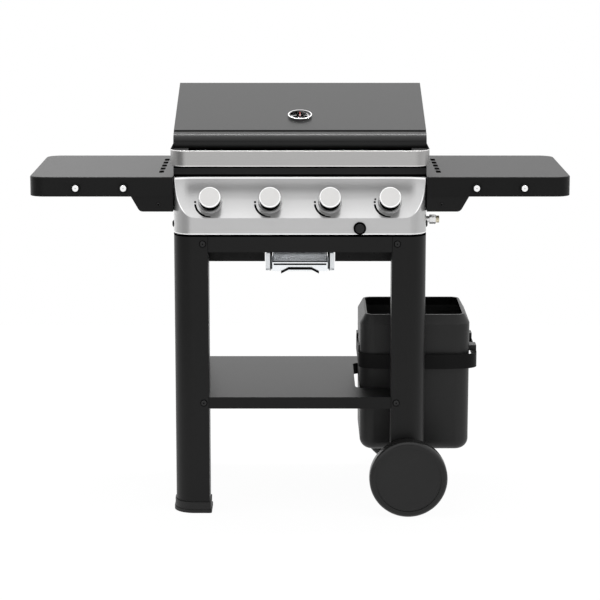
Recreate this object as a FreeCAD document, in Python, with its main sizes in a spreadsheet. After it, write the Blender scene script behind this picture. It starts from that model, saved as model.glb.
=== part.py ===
import FreeCAD, Part
import Sketcher
import math
import os

# Driving dimensions, in millimetres and degrees
SIZES = {
    # Cart frame
    "body_width": 640,
    "frame_depth": 502,
    "leg_height": 722,
    "front_leg_width": 88,
    "rear_leg_width": 60,
    "leg_depth": 75,
    "leg_gauge": 2,
    "leg_corner": 48,
    "leg_bend": 2.5,
    "wheel_leg_lift": 60,
    "apron_height": 42,
    "apron_flange": 20,
    "rail_height": 70,
    "rail_flange": 30,
    "tab_reach": 26,
    "tab_margin": 4,
    "tab_gap": 0.3,
    "shelf_height": 305,
    "shelf_skirt": 30,
    "shelf_notch": 12,
    "shelf_notch_corner": 20,
    "leg_shelf_gap": 2,
    # Feet and wheels
    "foot_floor": 8,
    "foot_height": 28,
    "foot_wall": 3,
    "foot_flare": 2,
    "foot_corner": 6,
    "foot_gap": 0.2,
    "wheel_radius": 100,
    "wheel_width": 48,
    "wheel_inset": 43,
    "wheel_face_radius": 84,
    "wheel_face_sink": 3.5,
    "wheel_face_wall": 5,
    "wheel_shoulder": 13,
    "wheel_hub_radius": 18,
    "wheel_hollow": 14,
    "wheel_rim_wall": 16,
    "wheel_standoff": 3,
    "axle_radius": 6,
    "axle_end_gap": 2,
    "running_fit": 0.05,
    "seat_gap": 0.3,
    # Screws
    "screw_head_radius": 7.5,
    "screw_head_height": 4,
    "screw_head_round": 3,
    "screw_radius": 3,
    "screw_length": 8,
    "screw_fit": 0.2,
    "screw_inset": 13.5,
    "small_head_radius": 4.5,
    # Waste bin and its hoop
    "bin_width": 286,
    "bin_height": 337,
    "bin_bottom": 133,
    "bin_overhang": 122,
    "bin_setback": 120.5,
    "bin_rear_setback": 99.5,
    "bin_corner": 37,
    "bin_round": 28,
    "bin_wall": 2.5,
    "bin_draft": 0.15,
    "collar_height": 24,
    "collar_slope": 29.5,
    "collar_skirt": 8,
    "collar_fit": 0.6,
    "hoop_height": 38,
    "hoop_base": 355,
    "hoop_gauge": 2.5,
    "hoop_bow": 14,
    "hoop_side_gap": 4,
    "hoop_far_gap": 19,
    "hoop_rear_gap": 6,
    "hoop_corner": 35,
    "hoop_bow_inset": 80,
    "lug_width": 40,
    "lug_height": 14,
    "lug_inset": 4,
    "lug_gap": 0.2,
    # Firebox and drip pan
    "firebox_height": 168,
    "firebox_setback": 52,
    "firebox_rear_setback": 39,
    "firebox_gauge": 1.5,
    "bay_depth": 49,
    "lip_height": 21.7,
    "ledge_width": 10,
    "grate_level": 136,
    "tamer_level": 96,
    "burner_level": 60,
    "pan_width": 510,
    "pan_setback": 27,
    "pan_depth": 82,
    "pan_gauge": 1.5,
    "floor_margin": 20,
    "hopper_floor_width": 220,
    "hopper_floor_length": 180,
    "hopper_depth": 67,
    "drain_radius": 30,
    # Grease tray
    "tray_width": 140,
    "tray_length": 200,
    "tray_height": 23,
    "tray_wall": 1.2,
    "tray_front_setback": 16,
    "tray_clearance": 3,
    "tray_rail_width": 14,
    "tray_rail_height": 24,
    "tray_tab_lift": 4.5,
    "tray_tab_rise": 20,
    "tray_slot_width": 134,
    "tray_slot_height": 4.5,
    "tray_slot_drop": 3,
    "tray_handle_width": 96,
    "tray_handle_top": 58,
    "tray_handle_rise": 10,
    "tray_handle_gauge": 5.5,
    "tray_handle_depth": 5,
    # Burners, tamers, grates and rack
    "burner_pitch": 151,
    "burner_radius": 12,
    "burner_wall": 1.2,
    "burner_reach": 11,
    "burner_fit": 0.15,
    "tamer_width": 92,
    "tamer_rise": 28,
    "tamer_gauge": 1.5,
    "grate_height": 12,
    "grate_bar": 6,
    "grate_bars": 18,
    "grate_rim": 10,
    "grate_play": 2,
    "rack_width": 540,
    "rack_length": 130,
    "rack_height": 80,
    "rack_setback": 30,
    "rack_wire": 3,
    "rack_wires": 19,
    "electrode_radius": 4,
    "electrode_length": 38,
    "electrode_offset": 24,
    # Control panel, valves and knobs
    "panel_gap": 2.5,
    "panel_height": 140.5,
    "panel_depth": 61,
    "panel_gauge": 1.5,
    "fascia_height": 42.1,
    "scoop_depth": 48,
    "scoop_radius": 250,
    "scoop_overrun": 85,
    "scoop_end_round": 150,
    "panel_edge": 2,
    "knob_level": 79.6,
    "knob_tilt": 26.5,
    "bezel_radius": 30.5,
    "bezel_top_radius": 28,
    "bezel_height": 9,
    "bezel_gap": 0.1,
    "knob_lift": 13,
    "knob_radius": 26,
    "knob_height": 23,
    "knob_edge": 1,
    "cap_radius": 27,
    "cap_height": 5,
    "cap_chamfer": 1.5,
    "spindle_radius": 4,
    "spindle_hole": 7,
    "spindle_grip": 16,
    "spindle_sink": 40,
    "valve_radius": 13,
    "valve_start": 22,
    "valve_length": 40,
    "valve_bore_depth": 28,
    "nozzle_radius": 5,
    "nozzle_length": 22,
    "manifold_radius": 9,
    "manifold_level": 32,
    "manifold_setback": 71,
    "manifold_end": 8,
    "inlet_stub_radius": 6,
    "inlet_neck_radius": 8,
    "inlet_neck": 9.5,
    "inlet_nut_radius": 12,
    "inlet_nut": 16,
    "inlet_thread_radius": 9,
    "inlet_thread": 8.5,
    # Igniter
    "igniter_offset": 150.5,
    "igniter_level": 16.6,
    "igniter_ring_radius": 16,
    "igniter_ring_height": 4,
    "igniter_body_radius": 13.5,
    "igniter_body_length": 34,
    "button_radius": 11.5,
    "button_rise": 4,
    "button_length": 20,
    "button_travel": 5,
    # Side shelves
    "wing_setback": 14,
    "wing_width": 360.5,
    "wing_length": 449,
    "wing_rise": 147.2,
    "wing_skirt": 49.5,
    "wing_gauge": 2,
    "wing_corner": 38,
    "wing_edge": 3,
    "wing_slots": 5,
    "slot_pitch": 61.5,
    "slot_width": 12.5,
    "slot_length": 45,
    "slot_inset": 32,
    "slot_first": 84.5,
    "gusset_drop": 38.5,
    "gusset_top": 106,
    "gusset_bottom": 84,
    "gusset_corner": 14,
    "gusset_screw_inset": 37,
    "gusset_screw_lift": 18,
    "peg_near": 122.5,
    "peg_pitch": 120.3,
    "peg_drop": 28,
    "peg_radius": 8,
    "peg_height": 8,
    "peg_shank": 4,
    "bush_radius": 11.8,
    "bush_height": 6,
    # Lid
    "lid_gap": 2,
    "lid_gauge": 1.5,
    "lid_inset": 3,
    "lid_nose_round": 32,
    "lid_ledge": 2,
    "lid_step": 3.8,
    "lid_back_depth": 52,
    "lid_slope": 15.8,
    "lid_rise": 179,
    "shoulder_rise": 93,
    "lid_crest_round": 3,
    "lid_shoulder_round": 20,
    "band_height": 40,
    "band_lift": 6,
    "band_overhang": 6,
    "band_standoff": 56,
    "band_gauge": 5,
    "band_corner": 40,
    "band_edge": 2,
    "bracket_back": 56,
    "bracket_width": 40,
    "bracket_rise": 11,
    "hinge_offset": 220,
    "hinge_standoff": 10,
    "hinge_width": 40,
    "hinge_knuckle": 10,
    "hinge_radius": 6,
    "hinge_pin_radius": 3,
    "hinge_plate": 2,
    "hinge_plate_height": 30,
    "hinge_play": 0.5,
    # Thermometer
    "dial_radius": 31,
    "dial_rim": 2.8,
    "dial_height": 7,
    "dial_floor": 3,
    "dial_step": 1.7,
    "dial_setback": 124,
    "dial_stem_radius": 5,
    "dial_stem_length": 35,
    "glass_thickness": 1.2,
    "needle_length": 20,
    "needle_width": 1.8,
    "needle_thickness": 0.8,
    "needle_pin_radius": 1,
    "needle_hub_radius": 2.6,
}

DOC = FreeCAD.newDocument("GasGrill")
SHEET = DOC.addObject("Spreadsheet::Sheet", "Sheet")
for row, (alias, number) in enumerate(SIZES.items(), start=1):
    SHEET.set(f"A{row}", alias)
    SHEET.set(f"B{row}", str(number))
    SHEET.setAlias(f"B{row}", alias)
DOC.recompute()


class Size:
    """A size worked out from the sheet: its formula, and its value for the first draft of a shape."""

    def __init__(self, text, value):
        self.text = text
        self.value = value

    def __add__(self, other):
        return Size(f"({self.text} + {text_of(other)})", self.value + value_of(other))

    def __sub__(self, other):
        return Size(f"({self.text} - {text_of(other)})", self.value - value_of(other))

    def __mul__(self, other):
        return Size(f"({self.text} * {text_of(other)})", self.value * value_of(other))

    def __truediv__(self, other):
        return Size(f"({self.text} / {text_of(other)})", self.value / value_of(other))

    def __radd__(self, other):
        return Size(f"({text_of(other)} + {self.text})", value_of(other) + self.value)

    def __rsub__(self, other):
        return Size(f"({text_of(other)} - {self.text})", value_of(other) - self.value)

    def __rmul__(self, other):
        return self * other

    def __neg__(self):
        return self * -1


class Sheet:
    """The sheet's cells by name."""

    def __getattr__(self, name):
        return Size(f"Sheet.{name}", float(SHEET.get(name)))


def text_of(size):
    return size.text if isinstance(size, Size) else repr(float(size))


def value_of(size):
    return size.value if isinstance(size, Size) else float(size)


def sine(angle):
    return Size(f"sin({angle.text} * 1 deg)", math.sin(math.radians(angle.value)))


def cosine(angle):
    return Size(f"cos({angle.text} * 1 deg)", math.cos(math.radians(angle.value)))


def root(size):
    return Size(f"sqrt({size.text})", math.sqrt(size.value))


def bind(thing, prop, size):
    thing.setExpression(prop, text_of(size))


def place(thing, x, y, z, direction=None):
    """Moves a thing to a point and turns its own Z axis to a direction."""
    turn_to = FreeCAD.Rotation()
    if direction:
        turn_to = FreeCAD.Rotation(FreeCAD.Vector(0, 0, 1), FreeCAD.Vector(*direction))
    spot = FreeCAD.Vector(value_of(x), value_of(y), value_of(z))
    thing.Placement = FreeCAD.Placement(spot, turn_to)
    for axis, size in zip("xyz", (x, y, z)):
        bind(thing, f"Placement.Base.{axis}", size)
    return thing


def block(name, xs, ys, zs):
    """Box between two values along each axis."""
    part = DOC.addObject("Part::Box", name)
    bind(part, "Length", xs[1] - xs[0])
    bind(part, "Width", ys[1] - ys[0])
    bind(part, "Height", zs[1] - zs[0])
    return place(part, xs[0], ys[0], zs[0])


def rod(name, radius, length, at, direction):
    part = DOC.addObject("Part::Cylinder", name)
    bind(part, "Radius", radius)
    bind(part, "Height", length)
    return place(part, *at, direction)


def hexagon(name, radius, length, at, direction):
    part = DOC.addObject("Part::Prism", name)
    part.Polygon = 6
    bind(part, "Circumradius", radius)
    bind(part, "Height", length)
    return place(part, *at, direction)


def cut(name, base, *tools):
    part = DOC.addObject("Part::Cut", name)
    part.Base = base
    part.Tool = tools[0] if len(tools) == 1 else join(f"{name}_tools", *tools)
    return part


def join(name, *pieces):
    part = DOC.addObject("Part::MultiFuse", name)
    part.Shapes = list(pieces)
    return part


def overlap(name, base, tool):
    part = DOC.addObject("Part::Common", name)
    part.Base = base
    part.Tool = tool
    return part


def group(name, *pieces):
    part = DOC.addObject("Part::Compound", name)
    part.Links = list(pieces)
    return part


def mirror(name, source):
    """Copy of a piece on the other side of the cart."""
    part = DOC.addObject("Part::Mirroring", name)
    part.Source = source
    part.Normal = (1, 0, 0)
    return part


def soften(name, base, radius, wanted):
    """Rounds the edges of a finished piece that a test picks."""
    DOC.recompute()
    part = DOC.addObject("Part::Fillet", name)
    part.Base = base
    picked = [i for i, edge in enumerate(base.Shape.Edges, start=1) if wanted(edge)]
    part.Edges = [(i, radius.value, radius.value) for i in picked]
    return part


def origin_plane(body, role):
    return next(f for f in body.Origin.OriginFeatures if f.Role == role)


def draw(body, role, loops):
    """Sketch of closed outlines on one of the body's own planes."""
    sketch = body.newObject("Sketcher::SketchObject", f"{body.Name}_sketch")
    sketch.AttachmentSupport = (origin_plane(body, role), [""])
    sketch.MapMode = "FlatFace"
    for loop in loops:
        outline(sketch, loop)
    return sketch


def corner_arc(before, corner, after, radius):
    """Arc that rounds a corner, with its ends in the order of travel and whether it turns left."""
    back = (before - corner).normalize()
    ahead = (after - corner).normalize()
    half_angle = back.getAngle(ahead) / 2
    run = radius / math.tan(half_angle)
    start = corner + back * run
    end = corner + ahead * run
    centre = corner + (back + ahead).normalize() * (radius / math.sin(half_angle))
    left = (corner - before).cross(after - corner).z > 0
    first, last = (start, end) if left else (end, start)
    angles = [math.atan2(p.y - centre.y, p.x - centre.x) for p in (first, last)]
    circle = Part.Circle(centre, FreeCAD.Vector(0, 0, 1), radius)
    return Part.ArcOfCircle(circle, *angles), start, end, left


def outline(sketch, corners):
    """Closed run of straight lines; a corner is (x, y), or (x, y, radius) where it is rounded."""
    count = len(corners)
    points = [FreeCAD.Vector(value_of(c[0]), value_of(c[1]), 0) for c in corners]
    entries = list(points)
    exits = list(points)
    arcs = {}
    for i, corner in enumerate(corners):
        if len(corner) == 3:
            arc, entries[i], exits[i], left = corner_arc(
                points[i - 1], points[i], points[(i + 1) % count], value_of(corner[2])
            )
            arcs[i] = (arc, left)
    lines = [
        sketch.addGeometry(Part.LineSegment(exits[i], entries[(i + 1) % count]))
        for i in range(count)
    ]
    rules = []
    sized = []

    def rule(*words, size=None):
        if size is None:
            rules.append(Sketcher.Constraint(*words))
        else:
            sized.append((len(rules), size))
            rules.append(Sketcher.Constraint(*words, value_of(size)))

    for i, corner in enumerate(corners):
        line_in = lines[i - 1]
        line_out = lines[i]
        if i in arcs:
            arc, left = arcs[i]
            bow = sketch.addGeometry(arc)
            mark = sketch.addGeometry(Part.Point(points[i]), True)
            rule("Tangent", line_in, 2, bow, 1 if left else 2)
            rule("Tangent", bow, 2 if left else 1, line_out, 1)
            rule("PointOnObject", mark, 1, line_in)
            rule("PointOnObject", mark, 1, line_out)
            rule("Radius", bow, size=corner[2])
            spot = (mark, 1)
        else:
            rule("Coincident", line_in, 2, line_out, 1)
            spot = (line_out, 1)
        for word, axis, size in (("DistanceX", -2, corner[0]), ("DistanceY", -1, corner[1])):
            if isinstance(size, Size):
                rule(word, -1, 1, *spot, size=size)
            elif size == 0:
                rule("PointOnObject", *spot, axis)
            else:
                rule(word, -1, 1, *spot, float(size))
    first = sketch.ConstraintCount
    sketch.addConstraint(rules)
    for index, size in sized:
        bind(sketch, f"Constraints[{first + index}]", size)


def extrude(name, role, loops, length, at=(0, 0, 0), taper=None):
    """Body padded from outlines on one of its planes."""
    body = DOC.addObject("PartDesign::Body", name)
    sketch = draw(body, role, loops)
    pad = body.newObject("PartDesign::Pad", f"{name}_pad")
    pad.Profile = sketch
    bind(pad, "Length", length)
    if taper is not None:
        bind(pad, "TaperAngle", taper)
    body.Tip = pad
    place(body, *at)
    return body


def turn(name, corners, at, direction=None):
    """Body turned about its own Z axis; a corner is (radius, height) or (radius, height, rounding)."""
    body = DOC.addObject("PartDesign::Body", name)
    sketch = draw(body, "XZ_Plane", [corners])
    revolution = body.newObject("PartDesign::Revolution", f"{name}_turn")
    revolution.Profile = sketch
    revolution.ReferenceAxis = (sketch, ["V_Axis"])
    revolution.Angle = 360
    body.Tip = revolution
    place(body, *at, direction)
    return body


def round_edges(body, radius, wanted):
    """Rounds the edges of a body that a test picks."""
    DOC.recompute()
    base = body.Tip
    picked = [f"Edge{i}" for i, e in enumerate(base.Shape.Edges, start=1) if wanted(e)]
    fillet = body.newObject("PartDesign::Fillet", f"{body.Name}_fillet")
    fillet.Base = (base, picked)
    bind(fillet, "Radius", radius)
    body.Tip = fillet
    return body


def hollow(body, wall, opened):
    """Leaves a wall inside a body, open at the faces that a test picks."""
    DOC.recompute()
    base = body.Tip
    picked = [f"Face{i}" for i, f in enumerate(base.Shape.Faces, start=1) if opened(f)]
    shell = body.newObject("PartDesign::Thickness", f"{body.Name}_shell")
    shell.Base = (base, picked)
    bind(shell, "Value", wall)
    shell.Reversed = True
    shell.Join = "Intersection"
    body.Tip = shell
    return body


def facing(x, y, z):
    """Test for flat faces whose outward normal is the given direction."""
    want = FreeCAD.Vector(x, y, z)

    def test(face):
        flat = isinstance(face.Surface, Part.Plane)
        return flat and face.normalAt(0, 0).getAngle(want) < 0.01

    return test


def level(z):
    """Test for edges that lie at one height."""
    return lambda edge: edge.BoundBox.ZLength < 0.01 and abs(edge.BoundBox.ZMin - value_of(z)) < 0.01


S = Sheet()
LEFT = -1
RIGHT = 1
SIDES = {"left": LEFT, "right": RIGHT}
FORWARD = (0, -1, 0)
BACKWARD = (0, 1, 0)
SIDEWAYS = (1, 0, 0)
UP = (0, 0, 1)

half = S.body_width / 2
front = S.frame_depth / -2
rear = S.frame_depth / 2
front_inner = half - S.front_leg_width
rear_inner = half - S.rear_leg_width
gauge = S.leg_gauge
NODES = []


def node(part):
    """Keeps a finished sub-part under its own label."""
    part.Label = part.Name
    NODES.append(part)
    return part


def screw(name, at, direction, head=S.screw_head_radius):
    return turn(
        name,
        [
            (0, -S.screw_length),
            (S.screw_radius, -S.screw_length),
            (S.screw_radius, 0),
            (head, 0),
            (head, S.screw_head_height, S.screw_head_round),
            (0, S.screw_head_height),
        ],
        at,
        direction,
    )


def screw_hole(name, at, direction):
    """Clearance hole round a screw, long enough for the plates it passes."""
    radius = S.screw_radius + S.screw_fit
    depth = S.screw_length * 2
    start = [c - d * S.screw_length for c, d in zip(at, direction)]
    return rod(name, radius, depth, start, direction)


# Legs: channels with one big corner, open towards the inside of the cart
apron_base = S.leg_height - S.apron_height
shelf_base = S.shelf_height - S.shelf_skirt
TABS = {
    "apron": (apron_base + S.tab_margin, S.leg_height - S.tab_margin),
    "shelf": (shelf_base + S.tab_margin, S.shelf_height - S.tab_margin),
}
SCREW_LEVELS = {"apron": apron_base + S.apron_height / 2, "shelf": shelf_base + S.shelf_skirt / 2}
screw_x = front_inner + S.screw_inset
axle_x = half - S.wheel_inset
axle_radius_hole = S.axle_radius + S.running_fit


def leg_channel(name, side, width, face, inward, bottom):
    inner = (half - width) * side
    outer = half * side
    open_edge = face + S.leg_depth * inward
    loop = [
        (inner, open_edge),
        (inner, face, S.leg_bend),
        (outer, face, S.leg_corner),
        (outer, open_edge),
        (outer - gauge * side, open_edge),
        (outer - gauge * side, face + gauge * inward, S.leg_corner - gauge),
        (inner + gauge * side, face + gauge * inward, S.leg_bend - gauge),
        (inner + gauge * side, open_edge),
    ]
    return extrude(name, "XY_Plane", [loop], S.leg_height - bottom, (0, 0, bottom))


def tab_slot(name, side, levels):
    """Slot in a front leg's inner wall that lets a crossbar's tab in behind its face."""
    ends = (front_inner - gauge, front_inner + gauge + S.leg_bend)
    xs = [x * side for x in ends[::side]]
    ys = (front + gauge, front + gauge * 2 + S.tab_gap)
    zs = (levels[0] - S.tab_gap, levels[1] + S.tab_gap)
    return block(name, xs, ys, zs)


def axle_hole(name, y):
    return rod(name, axle_radius_hole, gauge * 4, (axle_x, y - gauge * 2, S.wheel_radius), BACKWARD)


def legs():
    for word, side in SIDES.items():
        bottom = S.foot_floor if side == LEFT else S.wheel_leg_lift
        name = f"leg_front_{word}"
        channel = leg_channel(f"{name}_channel", side, S.front_leg_width, front, 1, bottom)
        cuts = [tab_slot(f"{name}_{tab}_slot", side, levels) for tab, levels in TABS.items()]
        for tab, z in SCREW_LEVELS.items():
            cuts.append(screw_hole(f"{name}_{tab}_hole", (screw_x * side, front, z), FORWARD))
        if side == RIGHT:
            cuts.append(axle_hole(f"{name}_axle_hole", front))
        node(cut(name, channel, *cuts))
    node(leg_channel("leg_rear_left", LEFT, S.rear_leg_width, rear, -1, S.foot_floor))
    channel = leg_channel("leg_rear_right_channel", RIGHT, S.rear_leg_width, rear, -1, S.wheel_leg_lift)
    node(cut("leg_rear_right", channel, axle_hole("leg_rear_right_axle_hole", rear)))


# Crossbars, side rails and bottom shelf
def channel_bar(name, reach, face, inward, base):
    """Bar with its open side to the inside of the cart."""
    back = face + S.apron_flange * inward
    web = face + gauge * inward
    loop = [
        (face, base),
        (back, base),
        (back, base + gauge),
        (web, base + gauge),
        (web, S.leg_height - gauge),
        (back, S.leg_height - gauge),
        (back, S.leg_height),
        (face, S.leg_height),
    ]
    return extrude(name, "YZ_Plane", [loop], reach * 2, (-reach, 0, 0))


def tabs(name, levels, hole_level):
    """Pair of tabs behind a front bar's ends, with their screw holes."""
    pieces = []
    for word, side in SIDES.items():
        ends = (front_inner - S.tab_reach, front_inner + S.tab_reach)
        xs = [x * side for x in ends[::side]]
        plate = block(f"{name}_{word}_plate", xs, (front + gauge, front + gauge * 2), levels)
        hole = screw_hole(f"{name}_{word}_hole", (screw_x * side, front, hole_level), FORWARD)
        pieces.append(cut(f"{name}_{word}", plate, hole))
    return pieces


def crossbars():
    bar = channel_bar("front_apron_bar", front_inner, front, 1, apron_base)
    node(join("front_apron", bar, *tabs("apron_tab", TABS["apron"], SCREW_LEVELS["apron"])))
    node(channel_bar("rear_apron", rear_inner, rear, -1, apron_base))


def side_rails():
    outer = half - gauge
    loop = [
        (outer, S.leg_height - S.rail_height),
        (outer, S.leg_height),
        (outer - S.rail_flange, S.leg_height),
        (outer - S.rail_flange, S.leg_height - gauge),
        (outer - gauge, S.leg_height - gauge),
        (outer - gauge, S.leg_height - S.rail_height),
    ]
    length = S.frame_depth - S.leg_corner * 2
    right = extrude("rail_right", "XZ_Plane", [loop], length, (0, rear - S.leg_corner, 0))
    node(group("side_rails", right, mirror("rail_left", right)))


bin_right = half + S.bin_overhang
bin_left = bin_right - S.bin_width
bin_front = front + S.bin_setback
bin_rear = rear - S.bin_rear_setback
bin_length = bin_rear - bin_front
bin_x = bin_right - S.bin_width / 2
bin_y = bin_front + bin_length / 2


def bottom_shelf():
    step = front + S.leg_depth + S.leg_shelf_gap
    notch_x = bin_left - S.shelf_notch
    notch_front = bin_front - S.shelf_notch
    notch_rear = bin_rear + S.shelf_notch
    plan = [
        (-front_inner, front),
        (front_inner, front),
        (front_inner, step),
        (rear_inner, step),
        (rear_inner, notch_front),
        (notch_x, notch_front, S.shelf_notch_corner),
        (notch_x, notch_rear, S.shelf_notch_corner),
        (rear_inner, notch_rear),
        (rear_inner, rear),
        (-rear_inner, rear),
        (-rear_inner, step),
        (-front_inner, step),
    ]
    tray = extrude("shelf_tray", "XY_Plane", [plan], S.shelf_skirt, (0, 0, shelf_base))
    hollow(tray, gauge, facing(0, 0, -1))
    node(join("bottom_shelf", tray, *tabs("shelf_tab", TABS["shelf"], SCREW_LEVELS["shelf"])))


# Feet, wheels and axle
def foot(name, width, face, inward):
    """Cap round the end of a left leg."""
    inner = (half - width) * LEFT
    outer = half * LEFT
    back = face + S.leg_depth * inward

    def plan(grow, bend, *back_bend):
        return [
            (inner + grow, back + grow * inward, *back_bend),
            (inner + grow, face - grow * inward, bend),
            (outer - grow, face - grow * inward, S.leg_corner + grow),
            (outer - grow, back + grow * inward, *back_bend),
        ]

    corner = S.foot_corner
    skirt = extrude(f"{name}_skirt", "XY_Plane", [plan(S.foot_wall, corner, corner)], S.foot_height)
    flange_plan = plan(S.foot_wall + S.foot_flare, corner, corner)
    flange = extrude(f"{name}_flange", "XY_Plane", [flange_plan], S.foot_floor)
    socket_plan = plan(S.foot_gap, S.leg_bend)
    socket = extrude(f"{name}_socket", "XY_Plane", [socket_plan], S.foot_height, (0, 0, S.foot_floor))
    return cut(name, join(f"{name}_solid", skirt, flange), socket)


def wheel(name, face, direction):
    """Moulded wheel, hollow behind, whose bore is closed by the front disc."""
    bore = S.axle_radius + S.running_fit
    disc = S.wheel_width - S.wheel_face_sink
    rim = S.wheel_radius - S.wheel_rim_wall
    stand = S.seat_gap - S.wheel_standoff
    side = direction[1]
    return turn(
        name,
        [
            (bore, stand),
            (S.wheel_hub_radius, stand),
            (S.wheel_hub_radius, S.wheel_hollow),
            (rim, S.wheel_hollow),
            (rim, 0),
            (S.wheel_radius, 0, S.wheel_shoulder),
            (S.wheel_radius, S.wheel_width, S.wheel_shoulder),
            (S.wheel_face_radius, S.wheel_width),
            (S.wheel_face_radius, disc),
            (0, disc),
            (0, disc - S.wheel_face_wall),
            (bore, disc - S.wheel_face_wall),
        ],
        (axle_x, face + S.wheel_standoff * side, S.wheel_radius),
        direction,
    )


def running_gear():
    feet = [
        foot("foot_front", S.front_leg_width, front, 1),
        foot("foot_rear", S.rear_leg_width, rear, -1),
    ]
    node(group("leg_feet", *feet))
    node(wheel("wheel_front", front, FORWARD))
    node(wheel("wheel_rear", rear, BACKWARD))
    bore_end = S.wheel_width - S.wheel_face_sink - S.wheel_face_wall
    reach = rear + S.wheel_standoff + bore_end - S.axle_end_gap
    node(rod("wheel_axle", S.axle_radius, reach * 2, (axle_x, -reach, S.wheel_radius), BACKWARD))


# Waste bin, collar, hoop and hoop brackets
hoop_top = S.hoop_base + S.hoop_height
hoop_left = bin_left - S.hoop_side_gap
hoop_right = bin_right + S.hoop_far_gap
hoop_front = bin_front - S.hoop_bow
hoop_rear = bin_rear + S.hoop_rear_gap
bin_top = S.bin_bottom + S.bin_height


def rounded_plan(width, length, corner):
    return [
        (width / -2, length / -2, corner),
        (width / 2, length / -2, corner),
        (width / 2, length / 2, corner),
        (width / -2, length / 2, corner),
    ]


def bin_form(name, shrink):
    """Tapered tub with a rounded bottom, smaller all round by the given amount."""
    lean = sine(S.bin_draft) / cosine(S.bin_draft) * S.bin_height
    inset = lean + shrink
    plan = rounded_plan(S.bin_width - inset * 2, bin_length - inset * 2, S.bin_corner - inset)
    at = (bin_x, bin_y, S.bin_bottom + shrink)
    form = extrude(name, "XY_Plane", [plan], S.bin_height, at, S.bin_draft)
    return round_edges(form, S.bin_round - shrink, level(0))


def waste_bin():
    wall = S.bin_wall
    shell = cut("bin_shell", bin_form("bin_outside", wall * 0), bin_form("bin_inside", wall))
    zs = (hoop_top + S.lug_gap, hoop_top + S.lug_gap + S.lug_height)
    lugs = []
    inset = S.bin_corner + S.lug_inset
    for word, y in (("front", bin_front + inset), ("rear", bin_rear - inset - S.lug_width)):
        ys = (y, y + S.lug_width)
        lugs.append(block(f"bin_lug_left_{word}", (hoop_left, bin_left + wall), ys, zs))
        lugs.append(block(f"bin_lug_right_{word}", (bin_right - wall, hoop_right), ys, zs))
    node(join("bin", shell, *lugs))


def bin_collar():
    wall = S.bin_wall
    at = (bin_x, bin_y, bin_top)
    outer = extrude(
        "collar_outer",
        "XY_Plane",
        [rounded_plan(S.bin_width, bin_length, S.bin_corner)],
        S.collar_height,
        at,
        -S.collar_slope,
    )
    shrink = (wall + S.collar_fit + wall) * 2
    inner_plan = rounded_plan(S.bin_width - shrink, bin_length - shrink, S.bin_corner - shrink / 2)
    inner = extrude("collar_inner", "XY_Plane", [inner_plan], S.collar_height, at, -S.collar_slope)
    slip = (wall + S.collar_fit) * 2
    skirt_plan = [
        rounded_plan(S.bin_width - slip, bin_length - slip, S.bin_corner - slip / 2),
        inner_plan,
    ]
    skirt = extrude(
        "collar_skirt", "XY_Plane", skirt_plan, S.collar_skirt, (bin_x, bin_y, bin_top - S.collar_skirt)
    )
    node(join("bin_collar", cut("collar_slope", outer, inner), skirt))


def bin_hoop():
    """Flat bar bent round the bin, bowed forward, with a bracket into each right leg."""
    bow_left = hoop_left + S.hoop_bow_inset
    bow_right = hoop_right - S.hoop_bow_inset
    plan = [
        (hoop_left, hoop_rear, S.hoop_corner),
        (hoop_left, bin_front, S.hoop_corner),
        (bow_left, hoop_front, S.hoop_bow_inset),
        (bow_right, hoop_front, S.hoop_bow_inset),
        (hoop_right, bin_front, S.hoop_corner),
        (hoop_right, hoop_rear, S.hoop_corner),
    ]
    hoop = extrude("bin_hoop", "XY_Plane", [plan], S.hoop_height, (0, 0, S.hoop_base))
    node(hollow(hoop, S.hoop_gauge, lambda face: abs(face.normalAt(0, 0).z) > 0.9))
    outer = half - gauge
    pieces = []
    for name, inner, edge, touch, inward in (
        ("front", front_inner + gauge, front + S.leg_depth, hoop_front, 1),
        ("rear", rear_inner + gauge, rear - S.leg_depth, hoop_rear, -1),
    ):
        start = edge - (S.leg_depth - S.leg_corner) * inward
        web = touch - gauge * inward
        loop = [
            (inner, start),
            (inner, touch),
            (outer, touch),
            (outer, start),
            (outer - gauge, start),
            (outer - gauge, web),
            (inner + gauge, web),
            (inner + gauge, start),
        ]
        height = S.hoop_height
        pieces.append(extrude(f"hoop_bracket_{name}", "XY_Plane", [loop], height, (0, 0, S.hoop_base)))
    node(group("hoop_brackets", *pieces))


# Firebox with the valve bay in front of its chamber
box_front = front + S.firebox_setback
box_rear = rear - S.firebox_rear_setback
box_floor = S.leg_height
rim = box_floor + S.firebox_height
sheet = S.firebox_gauge
bay_wall = box_front + S.bay_depth
chamber_front = bay_wall + sheet
chamber_rear = box_rear - sheet
chamber_half = half - sheet
panel_back = front + S.panel_depth
panel_base = S.leg_height + S.panel_gap
panel_top = panel_base + S.panel_height
lip_base = rim - S.lip_height
burner_z = box_floor + S.burner_level
tamer_z = box_floor + S.tamer_level
grate_z = box_floor + S.grate_level
manifold_y = front + S.manifold_setback
manifold_z = box_floor + S.manifold_level
BURNERS = [S.burner_pitch * offset for offset in (-1.5, -0.5, 0.5, 1.5)]
pan_front = bay_wall
pan_rear = box_rear - S.pan_setback
pan_length = pan_rear - pan_front
pan_half = S.pan_width / 2
margin = S.floor_margin


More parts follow.
